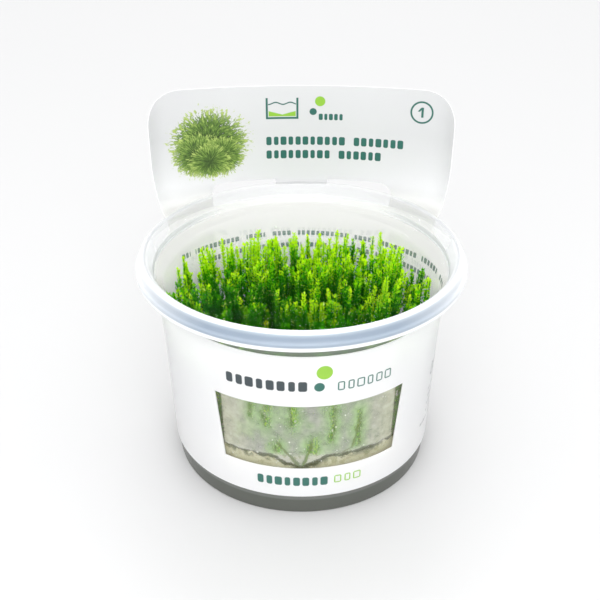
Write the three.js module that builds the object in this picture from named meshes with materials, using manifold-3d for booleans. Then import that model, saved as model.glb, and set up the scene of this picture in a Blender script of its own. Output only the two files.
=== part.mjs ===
// Weeping moss grown as a tissue culture in a clear round cup with a press-on lid.
// A white die-cut card wraps the cup as a sleeve and stands up behind it as a header.
// Millimetres, +Z up. The origin is the middle of the cup's flat base, and the front faces -Y.

import * as THREE from 'three';
import { mergeVertices } from 'three/addons/utils/BufferGeometryUtils.js';
import Module from 'manifold-3d';

const wasm = await Module();
wasm.setup();

// Cup: the wall leans outward as it rises, then flares into a shoulder that carries the rim.
const WALL_RADIUS = 40.1;       // outer face of the wall, carried down to the table
const WALL_LEAN = 0.0411;       // outward lean of the wall for each millimetre of height
const CUP_THICKNESS = 0.8;
const BASE_THICKNESS = 1.0;
const HEEL_RADIUS = 1.0;        // rounding between the base and the wall
const SHOULDER_Z = 61.0;        // where the straight wall ends
const RIM_Z = 69.0;             // top of the rim, under the ridge of the lid

// Lid: a thin pressing with a sunken panel, a raised ridge and a skirt that ends in a lip.
const LID_THICKNESS = 0.6;
const PANEL_Z = 63.9;           // top of the sunken panel
const PANEL_RADIUS = 43.6;
const RIDGE_RADIUS = 47.7;
const RIDGE_Z = 70.4;
const LIP_RADIUS = 50.0;
const LIP_TOP_Z = 66.9;
const LIP_BOTTOM_Z = 64.6;

// Card: flat pattern lengths. s runs round the sleeve from the middle of the back, z runs up.
const CARD_THICKNESS = 0.4;
const SLEEVE_RADIUS = 40.5;     // inner face of the sleeve, carried down to the table
const GIRTH = 270.0;            // once round the sleeve
const SLEEVE_BOTTOM_Z = 7.4;
const SLEEVE_TOP_Z = 58.6;
const SLEEVE_SKEW = 0.35;       // the top edge sits this much lower on the right than at the front
const HEADER_TOP_Z = 103.7;
const HEADER_HALF_WIDTH = 51.0;
const NECK_HALF_WIDTH = 49.0;   // header where it leaves the sleeve
const HEADER_CORNER = 11.0;
const HEADER_WIDEST_Z = 80.0;
const SLOT_HALF_WIDTH = 31.0;
const SLOT_CORNER = 4.0;
const SLOT_BOTTOM_Z = 63.4;
const SLOT_TOP_Z = 70.5;
const TAB_HALF_WIDTH = 8.85;
const TAB_BOTTOM_Z = 68.6;
const WINDOW_BOTTOM_Z = 18.2;
const WINDOW_TOP_Z = 41.5;
const WINDOW_CENTRE = 4.0;      // degrees to the right of the front
const WINDOW_HALF_TOP = 40.1;   // degrees of the sleeve
const WINDOW_HALF_BOTTOM = 37.2;

// Card in space: the back leaves the wall at BEND_START_Z and stands clear of the lid above.
const BEND_START_Z = 34.0;
const BEND_END_Z = 64.0;
const BEND_FULL_S = 46.0;       // the bend fades out between these two distances from the back
const BEND_NONE_S = 78.0;
const BACK_Y_LOW = 49.35;       // inner face of the card at the middle of the back, lid level
const BACK_Y_TOP = 48.5;        // the same at the top edge
const ARC_LOW = 60.0;           // radius of the card's level section at the lid
const ARC_TOP = 175.0;          // the same at the top edge

// Gel and moss.
const GAP = 0.3;                // air left between pieces that rest on each other
const GEL_TOP_Z = 22.0;
const MENISCUS = 0.8;           // how far the gel creeps up the wall
const MOSS_TIP_Z = 52.5;        // usual height of the tips
const MOSS_TALLEST_Z = 58.0;
const CORE_Z = 33.0;            // height up to which the stems of a tuft are grown together
const TUFT_PITCH = 16.6;        // distance between the middles of neighbouring tufts
const TUFT_JITTER = 2.4;
const SHOOTS_PER_TUFT = 6;      // one in the middle and the others round it
const SHOOT_RING = 6.0;         // distance of those others from the middle
const SHOOT_JITTER = 0.8;
const SHOOT_RADIUS = 2.7;
const SHOOT_TIP_RADIUS = 0.5;
const SHOOT_SIDES = 5;
const SHOOT_LEAN = 0.07;        // largest lean, in radians
const TIP_SPREAD = 3.2;         // the tips stand up to this much above or below their usual height

const ROUND_SEGMENTS = 40;      // facets round the cup, the lid and the gel

const CLEAR = { color: 0xf2f6f4, roughness: 0.08, metalness: 0, transparent: true, opacity: 0.3 };
const materials = {
  cup: new THREE.MeshStandardMaterial(CLEAR),
  lid: new THREE.MeshStandardMaterial({ ...CLEAR, opacity: 0.2 }),
  card: new THREE.MeshStandardMaterial({ color: 0xf4f5f6, roughness: 0.45, metalness: 0 }),
  gel: new THREE.MeshStandardMaterial({ color: 0xc9c8aa, roughness: 0.25, metalness: 0 }),
  moss: new THREE.MeshStandardMaterial({ color: 0x4f8a0f, roughness: 0.55, metalness: 0 }),
};

const group = new THREE.Group();

function addPiece(name, geometry, material) {
  const mesh = new THREE.Mesh(geometry, material);
  mesh.name = name;
  group.add(mesh);
}

// Points of a circular arc in the (r, z) plane, angles in degrees from the +r axis.
function arcPoints(centreR, centreZ, radius, startDegrees, endDegrees, steps) {
  const points = [];
  for (let i = 0; i <= steps; i += 1) {
    const angle = THREE.MathUtils.degToRad(startDegrees + ((endDegrees - startDegrees) * i) / steps);
    points.push([centreR + radius * Math.cos(angle), centreZ + radius * Math.sin(angle)]);
  }
  return points;
}

function turned(profile) {
  const points = profile.map(([r, z]) => new THREE.Vector2(Math.max(r, 0), z));
  return new THREE.LatheGeometry(points, ROUND_SEGMENTS).rotateX(Math.PI / 2);
}

// Seeded random numbers from 0 to 1, so that the moss grows the same way each time.
let seed = 20417;
function random() {
  seed = (seed * 1664525 + 1013904223) % 4294967296;
  return seed / 4294967296;
}

function spread(amount) {
  return (random() * 2 - 1) * amount;
}

// Closed geometry to solid and back.
function solidOf(geometry) {
  geometry.deleteAttribute('normal');
  geometry.deleteAttribute('uv');
  const merged = mergeVertices(geometry, 1e-4);
  const vertProperties = Float32Array.from(merged.attributes.position.array);
  const triVerts = Uint32Array.from(merged.index.array);
  return new wasm.Manifold(new wasm.Mesh({ numProp: 3, vertProperties, triVerts }));
}

function geometryOf(solid) {
  const mesh = solid.getMesh();
  const geometry = new THREE.BufferGeometry();
  geometry.setAttribute('position', new THREE.BufferAttribute(Float32Array.from(mesh.vertProperties), 3));
  geometry.setIndex(new THREE.BufferAttribute(Uint32Array.from(mesh.triVerts), 1));
  geometry.computeVertexNormals();
  return geometry;
}

// Cup

function wallRadius(z) {
  return WALL_RADIUS + WALL_LEAN * z;
}

function innerWallRadius(z) {
  return wallRadius(z) - CUP_THICKNESS;
}

function cupGeometry() {
  const heelOutside = arcPoints(wallRadius(HEEL_RADIUS) - HEEL_RADIUS, HEEL_RADIUS, HEEL_RADIUS, -90, 0, 3);
  const inHeel = HEEL_RADIUS - CUP_THICKNESS;
  const heelInside = arcPoints(
    innerWallRadius(HEEL_RADIUS) - inHeel, BASE_THICKNESS + inHeel, inHeel, 0, -90, 2);
  const shoulderOut = [
    [wallRadius(SHOULDER_Z), SHOULDER_Z],
    [45.3, 62.1],
    [46.4, 63.6],
    [46.9, 65.4],
    [48.2, 65.9],
  ];
  const rim = [
    [48.2, 66.7],
    [47.9, 68.5],
    [47.65, RIM_Z],
    [47.3, RIM_Z],
  ];
  const shoulderIn = [
    [47.0, 68.4],
    [45.5, 64.0],
    [44.9, 62.9],
    [innerWallRadius(SHOULDER_Z), SHOULDER_Z + 0.4],
  ];
  const outside = [[0, 0], ...heelOutside, ...shoulderOut];
  const inside = [...shoulderIn, ...heelInside, [0, BASE_THICKNESS]];
  return turned([...outside, ...rim, ...inside]);
}

addPiece('cup', cupGeometry(), materials.cup);

// Lid

function lidGeometry() {
  const underPanel = PANEL_Z - LID_THICKNESS;
  const below = [
    [0, underPanel],
    [PANEL_RADIUS + 0.4, underPanel],
    [45.2, 64.1],
    [46.8, 69.0],
    [47.3, 69.6],
    [RIDGE_RADIUS, RIDGE_Z - LID_THICKNESS],
    [48.1, 69.5],
    [48.3, 69.0],
    [48.7, LIP_TOP_Z],
    [LIP_RADIUS - LID_THICKNESS, LIP_TOP_Z - 0.5],
    [LIP_RADIUS - LID_THICKNESS, LIP_BOTTOM_Z],
  ];
  const above = [
    [LIP_RADIUS, LIP_BOTTOM_Z],
    [LIP_RADIUS, LIP_TOP_Z],
    [49.3, LIP_TOP_Z + 0.3],
    [48.9, 69.2],
    [48.4, 70.1],
    [RIDGE_RADIUS, RIDGE_Z],
    [46.9, 70.1],
    [46.2, 69.2],
    [44.6, 64.3],
    [PANEL_RADIUS, PANEL_Z],
    [0, PANEL_Z],
  ];
  return turned([...below, ...above]);
}

addPiece('lid', lidGeometry(), materials.lid);

// Card sleeve and header, cut from one sheet

// Half-width of the header at a height: a flare at the neck, a slow widening and round corners.
function headerEdge(z) {
  const rise = THREE.MathUtils.smoothstep(z, SLEEVE_TOP_Z, HEADER_WIDEST_Z);
  const flare = 3 * (1 - THREE.MathUtils.smoothstep(z, SLEEVE_TOP_Z, SLEEVE_TOP_Z + 2));
  const wide = THREE.MathUtils.lerp(NECK_HALF_WIDTH, HEADER_HALF_WIDTH, rise) + flare;
  const intoCorner = z - (HEADER_TOP_Z - HEADER_CORNER);
  if (intoCorner <= 0) {
    return wide;
  }
  return wide - HEADER_CORNER + Math.sqrt(Math.max(HEADER_CORNER ** 2 - intoCorner ** 2, 0));
}

function slotEdge(z) {
  const intoCorner = Math.min(z, SLOT_TOP_Z) - (SLOT_TOP_Z - SLOT_CORNER);
  if (intoCorner <= 0) {
    return SLOT_HALF_WIDTH;
  }
  return SLOT_HALF_WIDTH - SLOT_CORNER + Math.sqrt(SLOT_CORNER ** 2 - intoCorner ** 2);
}

// Distance round the sleeve of the window's edge, side +1 for right and -1 for left.
function windowEdge(z, side) {
  const rise = THREE.MathUtils.clamp((z - WINDOW_BOTTOM_Z) / (WINDOW_TOP_Z - WINDOW_BOTTOM_Z), 0, 1);
  const half = THREE.MathUtils.lerp(WINDOW_HALF_BOTTOM, WINDOW_HALF_TOP, rise);
  return (GIRTH * (180 - WINDOW_CENTRE - side * half)) / 360;
}

// Turns a point of the flat pattern into a place in space, on the inner face of the card.
function cardPoint(s, z) {
  const fromBack = s > GIRTH / 2 ? s - GIRTH : s;
  const angle = (fromBack / GIRTH) * 2 * Math.PI;
  const radius = SLEEVE_RADIUS + WALL_LEAN * Math.min(z, SLEEVE_TOP_Z);
  const onCup = new THREE.Vector3(radius * Math.sin(angle), radius * Math.cos(angle), z);
  const climb = THREE.MathUtils.clamp((z - BEND_END_Z) / (HEADER_TOP_Z - BEND_END_Z), 0, 1);
  const backY = THREE.MathUtils.lerp(BACK_Y_LOW, BACK_Y_TOP, climb);
  const arc = THREE.MathUtils.lerp(ARC_LOW, ARC_TOP, Math.sqrt(climb));
  const turn = fromBack / arc;
  const standing = new THREE.Vector3(arc * Math.sin(turn), backY - arc * (1 - Math.cos(turn)), z);
  const upTo = THREE.MathUtils.smoothstep(z, BEND_START_Z, BEND_END_Z);
  const outTo = 1 - THREE.MathUtils.smoothstep(Math.abs(fromBack), BEND_FULL_S, BEND_NONE_S);
  return onCup.lerp(standing, upTo * outTo);
}

function cardNormal(s, z) {
  const step = 0.2;
  const along = cardPoint(s + step, z).sub(cardPoint(s - step, z));
  const up = cardPoint(s, z + step).sub(cardPoint(s, z - step));
  return up.cross(along).normalize();
}

// Places along the pattern where the columns of the grid stand at height z, once round the sleeve.
// Each stop is an edge of the card or a cut in it, with the number of columns up to the next stop.
function columnsAt(z) {
  const stops = [
    [0, 1],
    [TAB_HALF_WIDTH, 4],
    [slotEdge(z), 2],
    [headerEdge(Math.max(z, SLEEVE_TOP_Z)), 9],
    [windowEdge(z, 1), 10],
    [windowEdge(z, -1), 9],
    [GIRTH - headerEdge(Math.max(z, SLEEVE_TOP_Z)), 2],
    [GIRTH - slotEdge(z), 4],
    [GIRTH - TAB_HALF_WIDTH, 1],
  ];
  const columns = [];
  stops.forEach(([start, cells], index) => {
    const end = index + 1 < stops.length ? stops[index + 1][0] : GIRTH;
    for (let i = 0; i < cells; i += 1) {
      columns.push(start + ((end - start) * i) / cells);
    }
  });
  return columns;
}

const CARD_ROWS = [
  SLEEVE_BOTTOM_Z, WINDOW_BOTTOM_Z, 30, WINDOW_TOP_Z, 47, 53, SLEEVE_TOP_Z, 60.6, SLOT_BOTTOM_Z,
  SLOT_TOP_Z - SLOT_CORNER, TAB_BOTTOM_Z, 69.9, SLOT_TOP_Z, 77, 85, HEADER_TOP_Z - HEADER_CORNER,
  97.5, 101, 103.1, HEADER_TOP_Z,
];

function cardGeometry() {
  const slot = 5;               // columns from the middle of the back to the slot's edge
  const header = 7;             // and to the header's edge
  const windowFirst = 16;       // and to the window's right edge
  const windowCells = 10;
  const columnCount = columnsAt(0).length;
  const isOpen = (row, column) => {
    const low = CARD_ROWS[row];
    const outward = Math.min(column, columnCount - 1 - column);
    const inWindow = column >= windowFirst && column < windowFirst + windowCells;
    if (low >= WINDOW_BOTTOM_Z && low < WINDOW_TOP_Z && inWindow) {
      return true;
    }
    if (low >= SLEEVE_TOP_Z && outward >= header) {
      return true;
    }
    const isTab = low >= TAB_BOTTOM_Z && outward < 1;
    return low >= SLOT_BOTTOM_Z && low < SLOT_TOP_Z && outward < slot && !isTab;
  };

  const positions = [];
  CARD_ROWS.forEach((row) => {
    columnsAt(row).forEach((s) => {
      const side = Math.sin((s / GIRTH) * 2 * Math.PI);
      const z = row === SLEEVE_TOP_Z ? row - SLEEVE_SKEW * side : row;
      const inside = cardPoint(s, z);
      const outside = inside.clone().addScaledVector(cardNormal(s, z), CARD_THICKNESS);
      positions.push(inside.x, inside.y, inside.z, outside.x, outside.y, outside.z);
    });
  });
  const at = (row, column, face) => (row * columnCount + ((column + columnCount) % columnCount)) * 2 + face;
  const isCard = (row, column) => {
    const onSheet = row >= 0 && row < CARD_ROWS.length - 1;
    return onSheet && !isOpen(row, (column + columnCount) % columnCount);
  };
  const indices = [];
  const quad = (a, b, c, d) => indices.push(a, b, c, a, c, d);
  for (let row = 0; row < CARD_ROWS.length - 1; row += 1) {
    for (let column = 0; column < columnCount; column += 1) {
      if (!isCard(row, column)) {
        continue;
      }
      const next = column + 1;
      quad(at(row, column, 1), at(row + 1, column, 1), at(row + 1, next, 1), at(row, next, 1));
      quad(at(row, column, 0), at(row, next, 0), at(row + 1, next, 0), at(row + 1, column, 0));
      if (!isCard(row - 1, column)) {
        quad(at(row, column, 0), at(row, column, 1), at(row, next, 1), at(row, next, 0));
      }
      if (!isCard(row + 1, column)) {
        quad(at(row + 1, column, 1), at(row + 1, column, 0), at(row + 1, next, 0), at(row + 1, next, 1));
      }
      if (!isCard(row, column - 1)) {
        quad(at(row, column, 0), at(row + 1, column, 0), at(row + 1, column, 1), at(row, column, 1));
      }
      if (!isCard(row, next)) {
        quad(at(row, next, 1), at(row + 1, next, 1), at(row + 1, next, 0), at(row, next, 0));
      }
    }
  }
  const geometry = new THREE.BufferGeometry();
  geometry.setAttribute('position', new THREE.BufferAttribute(new Float32Array(positions), 3));
  geometry.setIndex(indices);
  geometry.computeVertexNormals();
  return geometry;
}

addPiece('card_sleeve', cardGeometry(), materials.card);

// Gel: poured in warm, so it fills the base and creeps up the wall in a meniscus.

function gelGeometry() {
  const bottom = BASE_THICKNESS + GAP;
  const heel = HEEL_RADIUS;
  const edge = (z) => innerWallRadius(z) - GAP;
  return turned([
    [0, bottom],
    [edge(heel) - heel, bottom],
    [edge(heel) - 0.4, bottom + 0.9],
    [edge(bottom + heel), bottom + heel],
    [edge(GEL_TOP_Z + MENISCUS), GEL_TOP_Z + MENISCUS],
    [edge(GEL_TOP_Z) - 1.6, GEL_TOP_Z],
    [0, GEL_TOP_Z],
  ]);
}

addPiece('gel', gelGeometry(), materials.gel);

// Moss: clumps of upright shoots. Each clump keeps to the ground nearest to its own middle.

function tuftCentres() {
  const centres = [[0, 0]];
  for (let ring = 1; ring <= 2; ring += 1) {
    for (let i = 0; i < ring * 6; i += 1) {
      const angle = ((i + ring / 2) / (ring * 6)) * 2 * Math.PI;
      const radius = ring * TUFT_PITCH;
      centres.push([radius * Math.cos(angle), radius * Math.sin(angle)]);
    }
  }
  return centres.map(([x, y]) => [x + spread(TUFT_JITTER), y + spread(TUFT_JITTER)]);
}

// The part of a polygon that lies nearer to one centre than to another, less half the gap.
function clipTowards(polygon, own, other) {
  const middle = [(own[0] + other[0]) / 2, (own[1] + other[1]) / 2];
  const away = [other[0] - own[0], other[1] - own[1]];
  const length = Math.hypot(...away);
  const beyond = ([x, y]) => ((x - middle[0]) * away[0] + (y - middle[1]) * away[1]) / length + GAP / 2;
  const kept = [];
  polygon.forEach((point, index) => {
    const next = polygon[(index + 1) % polygon.length];
    const here = beyond(point);
    const there = beyond(next);
    if (here <= 0) {
      kept.push(point);
    }
    if (here * there < 0) {
      const share = here / (here - there);
      kept.push([point[0] + (next[0] - point[0]) * share, point[1] + (next[1] - point[1]) * share]);
    }
  });
  return kept;
}

// Height of the tips over a spot: lower towards the sides, where the growth is thinner.
function tipHeight(x, y) {
  const side = Math.abs(x) / innerWallRadius(MOSS_TIP_Z);
  const front = Math.max(-y, 0) / innerWallRadius(MOSS_TIP_Z);
  return MOSS_TIP_Z + 1.5 - 3.5 * side ** 3 - 2.0 * front;
}

function shootSolid(x, y, bottom, tip) {
  const height = tip - bottom;
  const shoot = new THREE.CylinderGeometry(SHOOT_TIP_RADIUS, SHOOT_RADIUS, height, SHOOT_SIDES, 2);
  const position = shoot.attributes.position;
  // The middle ring of corners moves up and out: nearly full width, then drawn in to the tip.
  const ringWidth = (SHOOT_RADIUS * 0.92) / ((SHOOT_RADIUS + SHOOT_TIP_RADIUS) / 2);
  const ringHeight = height * 0.22;
  for (let i = 0; i < position.count; i += 1) {
    if (Math.abs(position.getY(i)) < 1e-6) {
      position.setXYZ(i, position.getX(i) * ringWidth, ringHeight, position.getZ(i) * ringWidth);
    }
  }
  shoot.rotateX(Math.PI / 2);
  shoot.rotateZ(random() * Math.PI);
  shoot.rotateY(spread(SHOOT_LEAN));
  shoot.rotateX(spread(SHOOT_LEAN));
  shoot.translate(x, y, bottom + height / 2);
  return solidOf(shoot);
}

function tuftGeometry(index, centres) {
  const own = centres[index];
  const reach = 2 * WALL_RADIUS;
  let cell = [[-reach, -reach], [reach, -reach], [reach, reach], [-reach, reach]];
  centres.forEach((other, otherIndex) => {
    if (otherIndex !== index) {
      cell = clipTowards(cell, own, other);
    }
  });
  // The room inside the wall, clear of the gel's raised edge.
  const bottom = GEL_TOP_Z + GAP;
  const height = MOSS_TALLEST_Z - bottom;
  const topRadius = innerWallRadius(MOSS_TALLEST_Z) - GAP;
  const bottomRadius = innerWallRadius(bottom) - GAP - 1.6;
  const room = new THREE.CylinderGeometry(topRadius, bottomRadius, height, ROUND_SEGMENTS);
  room.rotateX(Math.PI / 2).translate(0, 0, bottom + height / 2);
  const outline = new THREE.Shape(cell.map(([x, y]) => new THREE.Vector2(x, y)));
  const prism = new THREE.ExtrudeGeometry(outline, { depth: height, bevelEnabled: false });
  prism.translate(0, 0, bottom);
  const space = solidOf(room).intersect(solidOf(prism));

  const core = new THREE.ExtrudeGeometry(outline, { depth: CORE_Z - bottom, bevelEnabled: false });
  core.translate(0, 0, bottom);
  let tuft = solidOf(core);
  const limit = innerWallRadius(MOSS_TIP_Z) - SHOOT_RADIUS;
  for (let i = 0; i < SHOOTS_PER_TUFT; i += 1) {
    const angle = (i / (SHOOTS_PER_TUFT - 1)) * 2 * Math.PI;
    const out = i === SHOOTS_PER_TUFT - 1 ? 0 : SHOOT_RING;
    const x = own[0] + out * Math.cos(angle) + spread(SHOOT_JITTER);
    const y = own[1] + out * Math.sin(angle) + spread(SHOOT_JITTER);
    const pull = Math.min(1, limit / Math.hypot(x, y));
    const tip = Math.min(tipHeight(x, y) + spread(TIP_SPREAD), MOSS_TALLEST_Z);
    tuft = tuft.add(shootSolid(x * pull, y * pull, bottom + 1, tip));
  }
  return geometryOf(tuft.intersect(space));
}

const centres = tuftCentres();
centres.forEach((centre, index) => {
  const number = String(index + 1).padStart(2, '0');
  addPiece(`moss_tuft_${number}`, tuftGeometry(index, centres), materials.moss);
});

export default group;
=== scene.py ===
# %% [markdown]
# # Weeping moss in a culture cup
#
# Shops sell aquarium moss that was grown from tiny fragments on a clear nutrient gel, in a
# sealed clear cup. A printed white card wraps the cup and stands up behind it. This lesson
# dresses that part in Blender: the moss shoots leaf by leaf, clear plastic, gel with drops of
# water over it, and a printed card that is made of maths instead of pictures.
#
# The solid model was made before, in CAD. It is loaded here as a fixed frame, in metres, with
# +Z up and the front towards -Y. Each piece below takes the place of a plain solid there.

# %% Load the frame
import math

import bmesh
import bpy
import numpy as np
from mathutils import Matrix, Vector


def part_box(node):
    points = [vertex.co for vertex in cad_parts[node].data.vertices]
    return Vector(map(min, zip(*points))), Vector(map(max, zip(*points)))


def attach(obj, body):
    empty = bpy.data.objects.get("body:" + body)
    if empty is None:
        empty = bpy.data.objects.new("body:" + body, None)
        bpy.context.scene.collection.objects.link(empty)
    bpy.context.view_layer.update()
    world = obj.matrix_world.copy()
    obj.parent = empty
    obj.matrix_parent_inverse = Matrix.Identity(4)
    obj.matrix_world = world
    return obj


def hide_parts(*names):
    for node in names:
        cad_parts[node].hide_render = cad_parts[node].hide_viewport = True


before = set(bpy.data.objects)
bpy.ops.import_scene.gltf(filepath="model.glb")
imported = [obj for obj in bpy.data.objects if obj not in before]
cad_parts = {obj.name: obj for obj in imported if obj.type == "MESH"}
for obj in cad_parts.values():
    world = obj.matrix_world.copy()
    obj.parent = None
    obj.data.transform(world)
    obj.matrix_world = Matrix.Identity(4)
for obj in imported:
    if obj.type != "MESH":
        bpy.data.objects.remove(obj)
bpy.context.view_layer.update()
MM = 0.001

# %% [markdown]
# ## Camera first
#
# The photo looks down at the cup from the front. Its camera was worked out from the rings of
# the cup, which are circles in space and ellipses in the photo: only one height, distance and
# focal length turns all of those circles into the ellipses that the photo shows. The camera is
# placed before anything else, so every later look at the scene is from the photo's point of view.

# %% Camera
PHOTO_WIDTH = 600                   # pixels, and the photo is square
FOCAL_LENGTH = 1025                 # pixels
SENSOR_WIDTH = 36                   # what Blender calls the width of the film, in mm
LOOKS_DOWN = math.radians(30.6)
CAMERA_DISTANCE = 319.2 * MM
AIM = Vector((-0.44, 0, 51.2)) * MM

camera = bpy.data.objects.new("camera", bpy.data.cameras.new("camera"))
camera.data.sensor_width = SENSOR_WIDTH
camera.data.lens = SENSOR_WIDTH * FOCAL_LENGTH / PHOTO_WIDTH
camera.data.clip_start = 0.01
backward = Vector((0, -math.cos(LOOKS_DOWN), math.sin(LOOKS_DOWN)))
camera.location = AIM + backward * CAMERA_DISTANCE
camera.rotation_euler = (math.pi / 2 - LOOKS_DOWN, 0, 0)
bpy.context.scene.collection.objects.link(camera)
bpy.context.scene.camera = camera
print("lens:", camera.data.lens, "mm, camera at", [round(x, 4) for x in camera.location])

# %% [markdown]
# ## Light
#
# The photo is a white studio: light comes from all round, with a large soft box overhead, a
# small one in front and one high up behind, which shines through the card. A pale world does
# most of the work. It also keeps the noise down behind clear plastic, where light can only
# arrive by being found by chance.
#
# The world isn't one flat grey. It is brighter overhead and a little darker and bluer near the
# horizon, so that the clear rim has something to mirror.

# %% World and lamps
WORLD_TOP = (1.0, 1.0, 1.0, 1)
WORLD_HORIZON = (0.84, 0.86, 0.89, 1)
WORLD_STRENGTH = 1.2
HORIZON_CLIMB, TOP_CLIMB = 0.02, 0.55   # how steeply a ray climbs where the colours start to mix

# The name of each soft box, its place, what it faces and its size in metres, and its watts.
# The rear box is so high that the flat lid doesn't mirror it into the camera.
SOFT_BOXES = [
    ("overhead_box", (0, 0, 1.3), (0, 0, 0.05), 3.0, 9.6),
    ("rear_box", (0, 1.1, 1.5), (0, 0.5, 0), 0.7, 5.0),
    ("front_box", (0, -0.6, 0.45), (0, 0, 0.05), 0.6, 3.6),
]


def make_world():
    world = bpy.data.worlds.new("studio")
    world.use_nodes = True
    nodes, links = world.node_tree.nodes, world.node_tree.links
    background = nodes["Background"]
    place = nodes.new("ShaderNodeTexCoord")
    split = nodes.new("ShaderNodeSeparateXYZ")
    ramp = nodes.new("ShaderNodeValToRGB")
    ramp.color_ramp.elements[0].position = HORIZON_CLIMB
    ramp.color_ramp.elements[0].color = WORLD_HORIZON
    ramp.color_ramp.elements[1].position = TOP_CLIMB
    ramp.color_ramp.elements[1].color = WORLD_TOP
    links.new(place.outputs["Generated"], split.inputs[0])
    links.new(split.outputs["Z"], ramp.inputs[0])
    links.new(ramp.outputs[0], background.inputs["Color"])
    background.inputs["Strength"].default_value = WORLD_STRENGTH
    bpy.context.scene.world = world


def soft_box(name, place, aim, size, watts):
    """A square lamp that faces a point, its place, aim and size in metres."""
    lamp = bpy.data.lights.new(name, "AREA")
    lamp.shape = "SQUARE"
    lamp.size = size
    lamp.energy = watts
    holder = bpy.data.objects.new(name, lamp)
    holder.location = place
    holder.rotation_euler = (Vector(aim) - Vector(place)).to_track_quat("-Z", "Y").to_euler()
    bpy.context.scene.collection.objects.link(holder)


make_world()
for box in SOFT_BOXES:
    soft_box(*box)
bpy.context.scene.view_settings.view_transform = "Standard"
bpy.context.scene.view_settings.look = "None"
print("world and", len(SOFT_BOXES), "soft boxes")

# %% [markdown]
# ## Writing materials as sums
#
# A material in Blender is a tree of nodes. Wiring it by hand hides the thought behind it, so a
# small class stands for one output of a node. Adding or comparing two of them adds the Math
# node that does it, and `1 - mask` reads like what it is. Most of its methods differ only in
# the operation, so one function makes them. Colours never go through a Math node, which would
# turn them grey: they are mixed.

# %% The wire and the finish


def sum_method(operation, swapped=False):
    """A method that adds the Math node of one operation. Swapped, the wire comes last in it."""
    def method(self, *others):
        values = (*others, self) if swapped else (self, *others)
        return self.maths(operation, *values)
    return method


class Wire:
    """One output of a node. Maths on it makes more nodes."""

    def __init__(self, finish, socket):
        self.finish = finish
        self.socket = socket

    def maths(self, operation, *values, clamp=False):
        settings = {"operation": operation, "use_clamp": clamp}
        return self.finish.node("ShaderNodeMath", settings, dict(enumerate(values)))

    __add__, __radd__ = sum_method("ADD"), sum_method("ADD", swapped=True)
    __sub__, __rsub__ = sum_method("SUBTRACT"), sum_method("SUBTRACT", swapped=True)
    __mul__, __rmul__ = sum_method("MULTIPLY"), sum_method("MULTIPLY", swapped=True)
    __truediv__, __pow__ = sum_method("DIVIDE"), sum_method("POWER")
    __abs__, root = sum_method("ABSOLUTE"), sum_method("SQRT")
    sine, whole = sum_method("SINE"), sum_method("FLOOR")
    bearing, wrapped = sum_method("ARCTAN2"), sum_method("WRAP")
    most = sum_method("MAXIMUM")

    def over(self, edge, soft):
        """0 below the edge and 1 above it, with a slope of the given width between."""
        return self.maths("MULTIPLY_ADD", self, 1 / soft, 0.5 - edge / soft, clamp=True)

    def under(self, edge, soft):
        """1 below the edge and 0 above it, with the same slope."""
        return self.maths("MULTIPLY_ADD", self, -1 / soft, 0.5 + edge / soft, clamp=True)


def strongest(*masks):
    """The most of several masks, point by point."""
    most = masks[0]
    for mask in masks[1:]:
        most = most.most(mask)
    return most


def length(x, y):
    return (x * x + y * y).root()


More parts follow.
